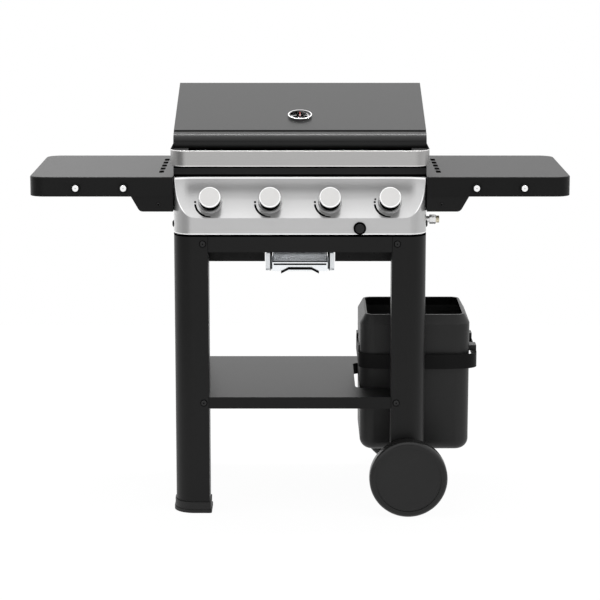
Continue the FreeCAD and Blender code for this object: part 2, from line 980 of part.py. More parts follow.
def firebox():
    extra = sheet * 2
    shell = block("firebox_block", (-half, half), (box_front, box_rear), (box_floor, rim))
    cuts = [
        block(
            "firebox_chamber",
            (-chamber_half, chamber_half),
            (chamber_front, chamber_rear),
            (box_floor + sheet, rim + extra),
        ),
        block(
            "firebox_bay",
            (-chamber_half, chamber_half),
            (box_front + sheet, bay_wall),
            (box_floor - extra, rim - sheet),
        ),
        block(
            "firebox_face",
            (-half - extra, half + extra),
            (box_front - extra, panel_back),
            (box_floor - extra, lip_base),
        ),
        block(
            "firebox_drain",
            (margin - pan_half, pan_half - margin),
            (pan_front + margin, pan_rear - margin),
            (box_floor - extra, box_floor + extra),
        ),
        rod(
            "firebox_inlet_hole",
            S.inlet_stub_radius + S.screw_fit,
            extra * 2,
            (half - extra, manifold_y, manifold_z),
            SIDEWAYS,
        ),
    ]
    for number, x in enumerate(BURNERS, start=1):
        at = (x, bay_wall - extra, burner_z)
        radius = S.burner_radius + S.burner_fit
        cuts.append(rod(f"firebox_burner_hole_{number}", radius, extra * 2, at, BACKWARD))
    ledges = []
    for name, z in (("grate", grate_z), ("tamer", tamer_z)):
        zs = (z - sheet, z)
        ys = (chamber_front, chamber_front + S.ledge_width)
        ledges.append(block(f"{name}_ledge_front", (-chamber_half, chamber_half), ys, zs))
        ys = (chamber_rear - S.ledge_width, chamber_rear)
        ledges.append(block(f"{name}_ledge_rear", (-chamber_half, chamber_half), ys, zs))
    burner_seat = burner_z - S.burner_radius - S.burner_fit
    ys = (chamber_rear - S.ledge_width, chamber_rear)
    zs = (burner_seat - sheet, burner_seat)
    ledges.append(block("burner_ledge", (-chamber_half, chamber_half), ys, zs))
    node(join("firebox", cut("firebox_shell", shell, *cuts), *ledges))


hopper_base = box_floor - S.hopper_depth
tray_z = hopper_base - S.tray_rail_height
tray_rail_outer = S.tray_width / 2 + S.tray_clearance + S.tray_rail_width


def hopper_wedge(name, lift):
    """Four-sided funnel with a flat floor, raised by the given amount."""
    wedge = DOC.addObject("Part::Wedge", name)
    top_half = pan_half - S.pan_gauge / 2
    top_length = pan_length - S.pan_gauge
    floor_start = (top_length - S.hopper_floor_length) / 2
    for prop, size in (
        ("Xmin", S.hopper_floor_width / -2),
        ("Xmax", S.hopper_floor_width / 2),
        ("Ymin", hopper_base * 0),
        ("Ymax", S.hopper_depth),
        ("Zmin", -floor_start - S.hopper_floor_length),
        ("Zmax", -floor_start),
        ("X2min", -top_half),
        ("X2max", top_half),
        ("Z2min", -top_length),
        ("Z2max", top_length * 0),
    ):
        bind(wedge, prop, size)
    wedge.Placement = FreeCAD.Placement(
        FreeCAD.Vector(), FreeCAD.Rotation(FreeCAD.Vector(1, 0, 0), 90)
    )
    for axis, size in (("y", pan_front + S.pan_gauge / 2), ("z", hopper_base + lift)):
        bind(wedge, f"Placement.Base.{axis}", size)
    return wedge


def drip_pan():
    wall = S.pan_gauge
    base = box_floor - S.pan_depth
    outer = block("pan_outer", (-pan_half, pan_half), (pan_front, pan_rear), (base, box_floor))
    inner = block(
        "pan_inner",
        (wall - pan_half, pan_half - wall),
        (pan_front + wall, pan_rear - wall),
        (base - wall, box_floor + wall),
    )
    notch_half = tray_rail_outer + S.tray_clearance
    notch = block(
        "pan_notch",
        (-notch_half, notch_half),
        (pan_front - wall, pan_front + wall * 2),
        (base - wall, apron_base),
    )
    skirt = cut("pan_skirt", outer, inner, notch)
    drain = rod("pan_drain", S.drain_radius, wall * 6, (0, pan_centre, hopper_base - wall), UP)
    funnel = cut("pan_funnel", hopper_wedge("funnel_outer", 0), hopper_wedge("funnel_inner", wall), drain)
    node(join("drip_pan", skirt, funnel))


pan_centre = pan_front + pan_length / 2
tray_front = front + S.tray_front_setback


def tray_rails():
    """Channels under the drip pan, open towards the tray, with a tab across the front from its runner up."""
    inner = tray_rail_outer - S.tray_rail_width
    wall = S.pan_gauge
    loop = [
        (inner, tray_z),
        (tray_rail_outer, tray_z),
        (tray_rail_outer, hopper_base),
        (inner, hopper_base),
        (inner, hopper_base - wall),
        (tray_rail_outer - wall, hopper_base - wall),
        (tray_rail_outer - wall, tray_z + wall),
        (inner, tray_z + wall),
    ]
    back = pan_centre + S.hopper_floor_length / 2
    channel = extrude("tray_channel", "XZ_Plane", [loop], back - tray_front, (0, back, 0))
    tab = block(
        "tray_rail_tab",
        (inner, tray_rail_outer),
        (tray_front, tray_front + wall),
        (tray_z + S.tray_tab_lift, hopper_base + S.tray_tab_rise),
    )
    right = join("tray_rail_right", channel, tab)
    node(group("tray_rails", right, mirror("tray_rail_left", right)))


def grease_tray():
    wall = S.tray_wall
    side = S.tray_width / 2
    top = hopper_base - S.tray_clearance
    base = top - S.tray_height
    back = tray_front + S.tray_length
    shell = cut(
        "tray_shell",
        block("tray_block", (-side, side), (tray_front, back), (base, top)),
        block(
            "tray_hollow",
            (wall - side, side - wall),
            (tray_front + wall, back - wall),
            (base + wall, top + wall),
        ),
        block(
            "tray_slot",
            (S.tray_slot_width / -2, S.tray_slot_width / 2),
            (tray_front - wall, tray_front + wall * 2),
            (top - S.tray_slot_drop - S.tray_slot_height, top - S.tray_slot_drop),
        ),
    )
    runner_z = tray_z + S.pan_gauge + S.seat_gap
    reach = tray_rail_outer - S.pan_gauge - S.tray_clearance
    runners = []
    for word, ends in (("left", (-reach, -side)), ("right", (side, reach))):
        ys = (tray_front + S.tray_clearance, back)
        runners.append(block(f"tray_runner_{word}", ends, ys, (runner_z, runner_z + wall)))
    node(join("grease_tray", shell, *runners))
    low = S.tray_handle_width / 2
    high = S.tray_handle_top / 2
    thick = S.tray_handle_gauge
    loop = [
        (-low, base - thick),
        (-high, base + S.tray_handle_rise - thick),
        (high, base + S.tray_handle_rise - thick),
        (low, base - thick),
        (low, base),
        (high, base + S.tray_handle_rise),
        (-high, base + S.tray_handle_rise),
        (-low, base),
    ]
    node(extrude("tray_handle", "XZ_Plane", [loop], S.tray_handle_depth, (0, tray_front, 0)))


# Burners, tamers, grates and warming rack
def burner(name, x):
    start = bay_wall - S.burner_reach
    length = chamber_rear - S.ledge_width / 2 - start
    bore = S.burner_radius - S.burner_wall
    return turn(
        name,
        [
            (bore, 0),
            (S.burner_radius, 0),
            (S.burner_radius, length),
            (0, length),
            (0, length - S.burner_wall),
            (bore, length - S.burner_wall),
        ],
        (x, start, burner_z),
        BACKWARD,
    )


def tamer(name, x):
    """Roof of bent sheet over a burner, on the tamer ledges."""
    reach = S.tamer_width / 2
    thick = S.tamer_gauge
    loop = [
        (-reach, 0),
        (thick - reach, 0),
        (0, S.tamer_rise - thick),
        (reach - thick, 0),
        (reach, 0),
        (0, S.tamer_rise),
    ]
    length = chamber_rear - chamber_front - S.grate_play * 2
    return extrude(name, "XZ_Plane", [loop], length, (x, chamber_rear - S.grate_play, tamer_z))


def electrode(name, x):
    """Spark electrode: a ceramic sleeve on the chamber's front wall beside a burner."""
    at = (x + S.electrode_offset, chamber_front, burner_z)
    tip = S.electrode_radius / 2
    sleeve = S.electrode_length * 0.7
    return turn(
        name,
        [
            (0, 0),
            (S.electrode_radius, 0),
            (S.electrode_radius, sleeve),
            (tip, sleeve),
            (tip, S.electrode_length),
            (0, S.electrode_length),
        ],
        at,
        BACKWARD,
    )


def burner_set():
    numbered = list(enumerate(BURNERS, start=1))
    node(group("burners", *[burner(f"burner_{n}", x) for n, x in numbered]))
    node(group("flame_tamers", *[tamer(f"tamer_{n}", x) for n, x in numbered]))
    node(group("igniter_electrodes", *[electrode(f"electrode_{n}", x) for n, x in numbered]))


def grate(name, side):
    """Cast grate: a plate pierced by rows of slots between its bars."""
    body = DOC.addObject("PartDesign::Body", name)
    length = chamber_rear - chamber_front - S.grate_play * 2
    width = chamber_half - S.grate_play * 1.5
    gap = (width - S.grate_rim * 2 - S.grate_bar * (S.grate_bars - 1)) / S.grate_bars
    pad = body.newObject("PartDesign::Pad", f"{name}_plate")
    pad.Profile = draw(body, "XY_Plane", [[(0, 0), (width, 0), (width, length), (0, length)]])
    bind(pad, "Length", S.grate_height)
    rows = []
    run = (length - S.grate_rim * 4) / 3
    for row in range(3):
        low = S.grate_rim + (run + S.grate_rim) * row
        rows.append(
            [
                (S.grate_rim, low),
                (S.grate_rim + gap, low),
                (S.grate_rim + gap, low + run),
                (S.grate_rim, low + run),
            ]
        )
    slots = body.newObject("PartDesign::Pocket", f"{name}_slots")
    slot_sketch = draw(body, "XY_Plane", rows)
    slots.Profile = slot_sketch
    slots.Type = "ThroughAll"
    slots.Reversed = True
    pattern = body.newObject("PartDesign::LinearPattern", f"{name}_bars")
    pattern.Originals = [slots]
    pattern.Direction = (slot_sketch, ["H_Axis"])
    bind(pattern, "Length", (gap + S.grate_bar) * (S.grate_bars - 1))
    bind(pattern, "Occurrences", S.grate_bars)
    body.Tip = pattern
    x = S.grate_play / 2 if side == RIGHT else -width - S.grate_play / 2
    return place(body, x, chamber_front + S.grate_play, grate_z)


def grates():
    node(group("cooking_grates", grate("grate_left", LEFT), grate("grate_right", RIGHT)))


def warming_rack():
    """Wire rack at the back, on four legs that stand on the grates."""
    wire = S.rack_wire
    floor = grate_z + S.grate_height
    top = floor + S.rack_height
    back = chamber_rear - S.rack_setback
    near = back - S.rack_length
    left = S.rack_width / -2
    pieces = []
    for row, y in (("near", near), ("back", back)):
        pieces.append(rod(f"rack_rail_{row}", wire, S.rack_width, (left, y, top), SIDEWAYS))
        for word, side in SIDES.items():
            x = (S.rack_width / 2 - wire * 2) * side
            pieces.append(rod(f"rack_leg_{row}_{word}", wire, S.rack_height, (x, y, floor), UP))
    step = (S.rack_width - wire * 4) / (S.rack_wires - 1)
    for number in range(int(S.rack_wires.value)):
        at = (left + wire * 2 + step * number, near, top + wire)
        pieces.append(rod(f"rack_wire_{number}", wire * 0.7, S.rack_length, at, BACKWARD))
    node(join("warming_rack", *pieces))


# Control panel: a shell with rounded ends, scooped out in front of the knobs
fascia_top = panel_base + S.fascia_height
scoop_rise = S.panel_height - S.fascia_height
chord = root(S.scoop_depth * S.scoop_depth + scoop_rise * scoop_rise)
scoop_out = root(S.scoop_radius * S.scoop_radius - chord * chord / 4)
scoop_y = front + S.scoop_depth / 2 - scoop_out * scoop_rise / chord
scoop_z = fascia_top + scoop_rise / 2 + scoop_out * S.scoop_depth / chord
knob_z = panel_base + S.knob_level
knob_rise = scoop_z - knob_z
knob_y = scoop_y + root(S.scoop_radius * S.scoop_radius - knob_rise * knob_rise)
knob_sine = sine(S.knob_tilt)
knob_cosine = cosine(S.knob_tilt)
KNOB_OUT = (0, -knob_cosine.value, knob_sine.value)


def along_knob(x, height):
    """Point on a knob's axis, at a height above the panel."""
    return (x, knob_y - knob_cosine * height, knob_z + knob_sine * height)


def scoop_tool(name, radius, reach, rounding):
    """Long drum with rounded ends that hollows out the panel's face."""
    drum = rod(f"{name}_drum", radius, reach * 2, (-reach, scoop_y, scoop_z), SIDEWAYS)
    return soften(name, drum, rounding, lambda edge: edge.BoundBox.XLength < 0.01)


def panel_solid(name, wall, tool):
    side = half - wall
    plan = [
        (-side, panel_back),
        (-side, front + wall, S.leg_corner - wall),
        (side, front + wall, S.leg_corner - wall),
        (side, panel_back),
    ]
    solid = extrude(
        f"{name}_block", "XY_Plane", [plan], S.panel_height - wall * 2, (0, 0, panel_base + wall)
    )
    return cut(name, solid, tool)


def control_panel():
    wall = S.panel_gauge
    reach = half + S.scoop_overrun
    tool = scoop_tool("scoop", S.scoop_radius, reach, S.scoop_end_round)
    deep_tool = scoop_tool("scoop_inside", S.scoop_radius + wall, reach + wall, S.scoop_end_round + wall)
    outside = panel_solid("panel_outside", wall * 0, tool)
    inside = panel_solid("panel_inside", wall, deep_tool)
    depth = S.panel_depth
    holes = [
        rod(f"spindle_hole_{n}", S.spindle_hole, depth, along_knob(x, S.scoop_depth / -2), KNOB_OUT)
        for n, x in enumerate(BURNERS, start=1)
    ]
    igniter_z = panel_base + S.igniter_level
    igniter_at = (S.igniter_offset, front - wall, igniter_z)
    holes.append(rod("igniter_hole", S.igniter_body_radius + S.screw_fit, wall * 4, igniter_at, BACKWARD))
    for word, side in SIDES.items():
        holes.append(screw_hole(f"panel_hole_{word}", panel_screw(side), (side, 0, 0)))
    rounded = soften("panel_rounded", outside, S.panel_edge, panel_edge)
    node(cut("control_panel", rounded, inside, *holes))


def panel_screw(side):
    y = panel_back - S.screw_head_radius
    return (half * side, y, panel_base + S.fascia_height / 2)


def panel_edge(edge):
    """Edges where the scoop meets the panel's front and ends, and the bottom edge round the front."""
    box = edge.BoundBox
    if level(panel_base)(edge):
        return box.YMin < panel_back.value - 1
    low = abs(box.ZMin - fascia_top.value) < 1 or box.ZMin > fascia_top.value - 1
    ahead = box.YMax < front.value + S.scoop_depth.value + S.panel_edge.value
    return low and ahead and box.ZMax < panel_top.value + 0.01 and box.ZMin < panel_top.value - 1


def knob_bezels():
    bezels = []
    flush = rod(
        "bezel_floor",
        S.scoop_radius - S.bezel_gap,
        S.body_width,
        (-half, scoop_y, scoop_z),
        SIDEWAYS,
    )
    sink = S.bezel_height
    for number, x in enumerate(BURNERS, start=1):
        cone = turn(
            f"bezel_cone_{number}",
            [
                (S.spindle_hole, -sink),
                (S.bezel_radius, -sink),
                (S.bezel_radius, S.bezel_height / 3),
                (S.bezel_top_radius, S.bezel_height),
                (S.spindle_hole, S.bezel_height),
            ],
            along_knob(x, 0),
            KNOB_OUT,
        )
        bezels.append(overlap(f"bezel_{number}", cone, flush))
    node(group("knob_bezels", *bezels))


def knob_set():
    fit = S.running_fit
    grip_top = S.knob_lift + S.spindle_grip
    knob_top = S.knob_lift + S.knob_height
    for number, x in enumerate(BURNERS, start=1):
        base = along_knob(x, 0)
        node(
            turn(
                f"knob_{number}",
                [
                    (S.spindle_radius + fit, S.knob_lift),
                    (S.knob_radius, S.knob_lift, S.knob_edge),
                    (S.knob_radius, knob_top),
                    (0, knob_top),
                    (0, grip_top + fit),
                    (S.spindle_radius + fit, grip_top + fit),
                ],
                base,
                KNOB_OUT,
            )
        )
        cap_top = knob_top + S.cap_height
        node(
            turn(
                f"knob_cap_{number}",
                [
                    (0, knob_top),
                    (S.cap_radius, knob_top),
                    (S.cap_radius, cap_top - S.cap_chamfer),
                    (S.cap_radius - S.cap_chamfer, cap_top),
                    (0, cap_top),
                ],
                base,
                KNOB_OUT,
            )
        )
        length = grip_top + S.spindle_sink
        spindle = rod(
            f"valve_spindle_{number}", S.spindle_radius, length, along_knob(x, -S.spindle_sink), KNOB_OUT
        )
        node(spindle)


def gas_train():
    fit = S.running_fit
    feed_left = -BURNERS[-1] - S.valve_radius * 2
    feed_right = half - S.manifold_end
    node(
        rod(
            "gas_manifold",
            S.manifold_radius,
            feed_right - feed_left,
            (feed_left, manifold_y, manifold_z),
            SIDEWAYS,
        )
    )
    clear = rod(
        "manifold_clearance",
        S.manifold_radius + fit,
        feed_right - feed_left,
        (feed_left, manifold_y, manifold_z),
        SIDEWAYS,
    )
    valves = []
    for number, x in enumerate(BURNERS, start=1):
        valve_end = along_knob(x, -S.valve_start - S.valve_length)
        body = rod(f"valve_body_{number}", S.valve_radius, S.valve_length, valve_end, KNOB_OUT)
        feed = (x, manifold_y, manifold_z)
        boss = rod(f"valve_boss_{number}", S.manifold_radius * 0.7, burner_z - manifold_z, feed, UP)
        nozzle = rod(
            f"valve_nozzle_{number}", S.nozzle_radius, S.nozzle_length, (x, manifold_y, burner_z), BACKWARD
        )
        bore_at = along_knob(x, -S.valve_start - S.valve_bore_depth)
        bore_length = S.valve_bore_depth + S.valve_start
        bore = rod(f"valve_bore_{number}", S.spindle_radius + fit, bore_length, bore_at, KNOB_OUT)
        solid = join(f"valve_solid_{number}", body, boss, nozzle)
        valves.append(cut(f"valve_{number}", solid, bore, clear))
    node(group("gas_valves", *valves))
    stub = S.manifold_end
    nut_end = S.inlet_neck + S.inlet_nut
    core = turn(
        "inlet_core",
        [
            (0, -stub),
            (S.inlet_stub_radius, -stub),
            (S.inlet_stub_radius, 0),
            (S.inlet_neck_radius, 0),
            (S.inlet_neck_radius, nut_end),
            (S.inlet_thread_radius, nut_end),
            (S.inlet_thread_radius, nut_end + S.inlet_thread),
            (0, nut_end + S.inlet_thread),
        ],
        (half, manifold_y, manifold_z),
        SIDEWAYS,
    )
    nut_at = (half + S.inlet_neck, manifold_y, manifold_z)
    nut = hexagon("inlet_nut", S.inlet_nut_radius, S.inlet_nut, nut_at, SIDEWAYS)
    node(join("gas_inlet", core, nut))


def igniter():
    z = panel_base + S.igniter_level
    at = (S.igniter_offset, front, z)
    bore = S.button_radius + S.seat_gap
    pocket = S.button_length + S.button_travel - S.button_rise
    module = turn(
        "igniter_module",
        [
            (0, -S.igniter_body_length),
            (S.igniter_body_radius, -S.igniter_body_length),
            (S.igniter_body_radius, 0),
            (S.igniter_ring_radius, 0),
            (S.igniter_ring_radius, S.igniter_ring_height),
            (bore, S.igniter_ring_height),
            (bore, -pocket),
            (0, -pocket),
        ],
        at,
        FORWARD,
    )
    node(module)
    top = S.igniter_ring_height + S.button_rise
    button = turn(
        "igniter_button",
        [
            (0, top - S.button_length),
            (S.button_radius, top - S.button_length),
            (S.button_radius, top, S.knob_edge),
            (0, top),
        ],
        at,
        FORWARD,
    )
    node(button)


# Side shelves, brackets and hook pegs
wing_inner = half + S.wing_gauge
wing_outer = wing_inner + S.wing_width
wing_front = front + S.wing_setback
wing_rear = wing_front + S.wing_length
wing_top = S.leg_height + S.wing_rise
wing_base = wing_top - S.wing_skirt
peg_z = wing_top - S.peg_drop
PEGS = [wing_inner + S.peg_near, wing_inner + S.peg_near + S.peg_pitch]


def wing():
    """Right side shelf: a folded tray with its open end against the bracket."""
    plan = [
        (wing_inner, wing_front),
        (wing_outer, wing_front, S.wing_corner),
        (wing_outer, wing_rear, S.wing_corner),
        (wing_inner, wing_rear),
    ]
    tray = extrude("wing_tray", "XY_Plane", [plan], S.wing_skirt, (0, 0, wing_base))
    away = value_of(wing_inner) + 0.01
    round_edges(tray, S.wing_edge, lambda e: level(S.wing_skirt)(e) and e.BoundBox.XMax > away)
    bottom = facing(0, 0, -1)
    inner_end = facing(-1, 0, 0)
    hollow(tray, S.wing_gauge, lambda face: bottom(face) or inner_end(face))
    cuts = []
    slot_x = wing_inner + S.slot_inset
    radius = S.slot_width / 2
    for number in range(int(S.wing_slots.value)):
        y = wing_front + S.slot_first + S.slot_pitch * number
        ends = (y, y + S.slot_length)
        loop = [
            (slot_x - radius, ends[0], radius * 0.99),
            (slot_x + radius, ends[0], radius * 0.99),
            (slot_x + radius, ends[1], radius * 0.99),
            (slot_x - radius, ends[1], radius * 0.99),
        ]
        depth = S.wing_gauge * 3
        cuts.append(
            extrude(f"wing_slot_{number}", "XY_Plane", [loop], depth, (0, 0, wing_top - depth / 2))
        )
    for number, x in enumerate(PEGS, start=1):
        at = (x, wing_front - S.wing_gauge, peg_z)
        cuts.append(rod(f"peg_hole_{number}", S.peg_shank + S.screw_fit, S.wing_gauge * 3, at, BACKWARD))
    return cut("side_shelf_right", tray, *cuts)


def gusset_screw(side):
    z = wing_base - S.gusset_drop + S.gusset_screw_lift
    return ((half + S.gusset_screw_inset) * side, wing_front + S.wing_gauge, z)


def wing_bracket():
    """Plate on the firebox side with a gusset at each end, under the right side shelf."""
    thick = S.wing_gauge
    base = wing_base - S.gusset_drop
    top = wing_top - S.wing_edge
    loop = [
        (half, base),
        (half + S.gusset_bottom, base, S.gusset_corner),
        (half + S.gusset_top, wing_base),
        (half + S.gusset_top, top),
        (half, top),
    ]
    near = extrude("gusset_near", "XZ_Plane", [loop], thick, (0, wing_front + thick * 2, 0))
    back = extrude("gusset_back", "XZ_Plane", [loop], thick, (0, wing_rear - thick, 0))
    ys = (wing_front + thick, wing_rear - thick)
    plate = block("bracket_plate", (half, half + thick), ys, (base, wing_top))
    hole = screw_hole("gusset_hole", gusset_screw(RIGHT), FORWARD)
    return cut("bracket_right", join("bracket_solid", near, back, plate), hole)


def side_shelves():
    right = node(wing())
    node(mirror("side_shelf_left", right))
    bracket = wing_bracket()
    node(group("shelf_brackets", bracket, mirror("bracket_left", bracket)))
    pegs = []
    bushes = []
    for side in SIDES.values():
        for x in PEGS:
            at = (x * side, wing_front, peg_z)
            count = len(pegs)
            pegs.append(
                turn(
                    f"peg_{count}",
                    [
                        (0, -S.wing_gauge),
                        (S.peg_shank, -S.wing_gauge),
                        (S.peg_shank, 0),
                        (S.peg_radius, 0),
                        (S.peg_radius, S.peg_height, S.knob_edge),
                        (0, S.peg_height),
                    ],
                    at,
                    FORWARD,
                )
            )
            bore = S.peg_radius + S.seat_gap
            bushes.append(
                turn(
                    f"bush_{count}",
                    [
                        (bore, 0),
                        (S.bush_radius, 0),
                        (S.bush_radius, S.bush_height, S.knob_edge),
                        (bore, S.bush_height),
                    ],
                    at,
                    FORWARD,
                )
            )
    node(group("hook_pegs", *pegs))
    node(group("hook_bushes", *bushes))


def screws():
    pieces = []
    for word, side in SIDES.items():
        for tab, z in SCREW_LEVELS.items():
            pieces.append(screw(f"screw_{tab}_{word}", (screw_x * side, front, z), FORWARD))
        pieces.append(screw(f"screw_panel_{word}", panel_screw(side), (side, 0, 0)))
        pieces.append(screw(f"screw_gusset_{word}", gusset_screw(side), FORWARD, S.small_head_radius))
    node(group("frame_screws", *pieces))


# Lid: bent skin between two end plates
lid_base = rim + S.lid_gap
lid_face = box_front + S.lid_inset
lid_crest = lid_base + S.lid_rise
lid_crest_y = box_rear - S.lid_back_depth
slope_tangent = sine(S.lid_slope) / cosine(S.lid_slope)
lid_edge_y = lid_face + S.lid_nose_round + S.lid_ledge
lid_edge = lid_crest - (lid_crest_y - lid_edge_y) * slope_tangent
ledge_z = lid_edge - S.lid_step
LID_SIDE = [
    (lid_face, lid_base),
    (lid_face, ledge_z, S.lid_nose_round),
    (lid_edge_y, ledge_z),
    (lid_edge_y, lid_edge),
    (lid_crest_y, lid_crest, S.lid_crest_round),
    (box_rear, lid_base + S.shoulder_rise, S.lid_shoulder_round),
    (box_rear, lid_base),
]
LID_NORMAL = (0, -sine(S.lid_slope).value, cosine(S.lid_slope).value)
dial_y = box_front + S.dial_setback
dial_z = lid_crest - (lid_crest_y - dial_y) * slope_tangent
dial_at = (0, dial_y, dial_z)


def lid_shell():
    skin_half = half - S.lid_gauge
    skin = extrude("lid_sheet", "YZ_Plane", [LID_SIDE], skin_half * 2, (-skin_half, 0, 0))

    def opened(face):
        normal = face.normalAt(0, 0)
        return abs(normal.x) > 0.9 or normal.z < -0.9

    hollow(skin, S.lid_gauge, opened)
    stem = S.dial_stem_radius + S.screw_fit
    sink = [c - n * 10 for c, n in zip(dial_at, LID_NORMAL)]
    node(cut("lid_skin", skin, rod("dial_hole", stem, S.dial_stem_length, sink, LID_NORMAL)))
    right = extrude("lid_end_right", "YZ_Plane", [LID_SIDE], S.lid_gauge, (skin_half, 0, 0))
    node(group("lid_ends", right, mirror("lid_end_left", right)))


band_base = rim + S.band_lift + S.lid_gap
band_top = band_base + S.band_height
band_side = half + S.band_overhang
band_front = lid_face - S.band_standoff - S.band_gauge
band_end = band_front + S.band_corner


def lid_handle():
    """Strap handle across the front, its ends on a block at each corner of the lid."""
    thick = S.band_gauge
    plan = [
        (-band_side, band_end),
        (-band_side, band_front, S.band_corner * 0.995),
        (band_side, band_front, S.band_corner * 0.995),
        (band_side, band_end),
        (band_side - thick, band_end),
        (band_side - thick, band_front + thick, (S.band_corner - thick) * 0.995),
        (thick - band_side, band_front + thick, (S.band_corner - thick) * 0.995),
        (thick - band_side, band_end),
    ]
    band = extrude("lid_handle", "XY_Plane", [plan], S.band_height, (0, 0, band_base))

    def long_edge(edge):
        low = level(0)(edge) or level(S.band_height)(edge)
        return low and edge.Length > S.band_gauge.value * 1.5

    node(round_edges(band, S.band_edge, long_edge))
    inner = band_side - thick
    block_plan = [
        (half, lid_face),
        (half, lid_face + S.bracket_back),
        (band_side, lid_face + S.bracket_back),
        (band_side, band_end),
        (inner, band_end),
        (inner, band_front + thick, (S.band_corner - thick) * 0.995),
        (inner - S.bracket_width, band_front + thick),
        (inner - S.bracket_width, lid_face),
    ]
    solid = extrude("bracket_block", "XY_Plane", [block_plan], S.band_height, (0, 0, band_base))
    wedge_side = [(half, band_top), (band_side, band_top), (half, band_top + S.bracket_rise)]
    length = S.bracket_back + lid_face - band_end
    wedge = extrude("bracket_wedge", "XZ_Plane", [wedge_side], length, (0, lid_face + S.bracket_back, 0))
    right = join("handle_bracket_right", solid, wedge)
    node(group("handle_brackets", right, mirror("handle_bracket_left", right)))


hinge_y = box_rear + S.hinge_standoff
hinge_z = rim + S.lid_gap / 2


def hinge_half(name, span, plate_zs, neck_zs):
    """Plate on the back wall with a neck and a knuckle round the hinge axis."""
    knuckle = rod(f"{name}_knuckle", S.hinge_radius, span[1] - span[0], (span[0], hinge_y, hinge_z), SIDEWAYS)
    neck = block(f"{name}_neck", span, (box_rear, hinge_y), neck_zs)
    plate = block(f"{name}_plate", span, (box_rear, box_rear + S.hinge_plate), plate_zs)
    return join(f"{name}_solid", knuckle, neck, plate)


def hinges():
    brackets = []
    leaves = []
    reach = S.hinge_width / 2
    for word, side in SIDES.items():
        x = S.hinge_offset * side
        pieces = []
        below = (rim - S.hinge_plate_height, rim - S.hinge_play)
        for end, span in (
            ("a", (x - reach, x - reach + S.hinge_knuckle)),
            ("b", (x + reach - S.hinge_knuckle, x + reach)),
        ):
            pieces.append(hinge_half(f"hinge_{word}_{end}", span, below, (hinge_z - S.hinge_radius, hinge_z)))
        pin_at = (x - reach, hinge_y, hinge_z)
        pin = rod(f"hinge_pin_{word}", S.hinge_pin_radius, S.hinge_width, pin_at, SIDEWAYS)
        brackets.append(join(f"hinge_bracket_{word}", *pieces, pin))
        middle = reach - S.hinge_knuckle - S.hinge_play
        above = (lid_base + S.hinge_play, lid_base + S.hinge_plate_height)
        leaf = hinge_half(
            f"hinge_leaf_{word}", (x - middle, x + middle), above, (hinge_z, hinge_z + S.hinge_radius)
        )
        bore_radius = S.hinge_pin_radius + S.running_fit
        bore = rod(f"hinge_bore_{word}", bore_radius, S.hinge_width, pin_at, SIDEWAYS)
        leaves.append(cut(f"hinge_leaf_bored_{word}", leaf, bore))
    node(group("hinge_brackets", *brackets))
    node(group("hinge_leaves", *leaves))


def thermometer():
    glass_low = S.dial_height - S.dial_step
    well = S.dial_radius - S.dial_rim - S.dial_step
    seat = S.dial_radius - S.dial_rim
    pin = S.needle_pin_radius
    case = turn(
        "thermometer_case",
        [
            (0, -S.dial_stem_length),
            (S.dial_stem_radius, -S.dial_stem_length),
            (S.dial_stem_radius, 0),
            (S.dial_radius, 0),
            (S.dial_radius, S.dial_height, S.knob_edge),
            (seat, S.dial_height),
            (seat, glass_low),
            (well, glass_low),
            (well, S.dial_floor),
            (pin, S.dial_floor),
            (pin, glass_low - S.seat_gap),
            (0, glass_low - S.seat_gap),
        ],
        dial_at,
        LID_NORMAL,
    )
    node(case)
    lens = seat - S.screw_fit
    glass_top = glass_low + S.glass_thickness
    glass = turn(
        "thermometer_glass",
        [(0, glass_low), (lens, glass_low), (lens, glass_top), (0, glass_top)],
        dial_at,
        LID_NORMAL,
    )
    node(glass)
    low = S.dial_floor + S.seat_gap
    arm = block(
        "needle_arm",
        (S.needle_width / -2, S.needle_width / 2),
        (S.needle_hub_radius * -2, S.needle_length),
        (low, low + S.needle_thickness),
    )
    hub = rod("needle_hub", S.needle_hub_radius, S.needle_thickness, (0, 0, low), UP)
    bore = rod("needle_bore", pin + S.running_fit, S.dial_height, (0, 0, 0), UP)
    needle = cut("thermometer_needle", join("needle_solid", arm, hub), bore)
    place(needle, *dial_at, LID_NORMAL)
    node(needle)


legs()
crossbars()
side_rails()
bottom_shelf()
running_gear()
waste_bin()
bin_collar()
bin_hoop()
firebox()
drip_pan()
tray_rails()
grease_tray()
burner_set()
grates()
warming_rack()
control_panel()
knob_bezels()
knob_set()
gas_train()
igniter()
side_shelves()
screws()
lid_shell()
lid_handle()
hinges()
thermometer()
DOC.recompute()

for thing in DOC.Objects:
    if "Invalid" in thing.State or "Error" in thing.State:
        raise RuntimeError(f"{thing.Label} failed: {thing.State}")
for part in NODES:
    if part.Shape.isNull() or not part.Shape.isValid():
        raise RuntimeError(f"{part.Label} has no valid shape")

os.makedirs("parts", exist_ok=True)
for part in NODES:
    part.Shape.exportStep(f"parts/{part.Label}.step")
print(len(NODES), "sub-parts written")
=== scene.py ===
import math

import bmesh
import bpy
from mathutils import Matrix, Vector


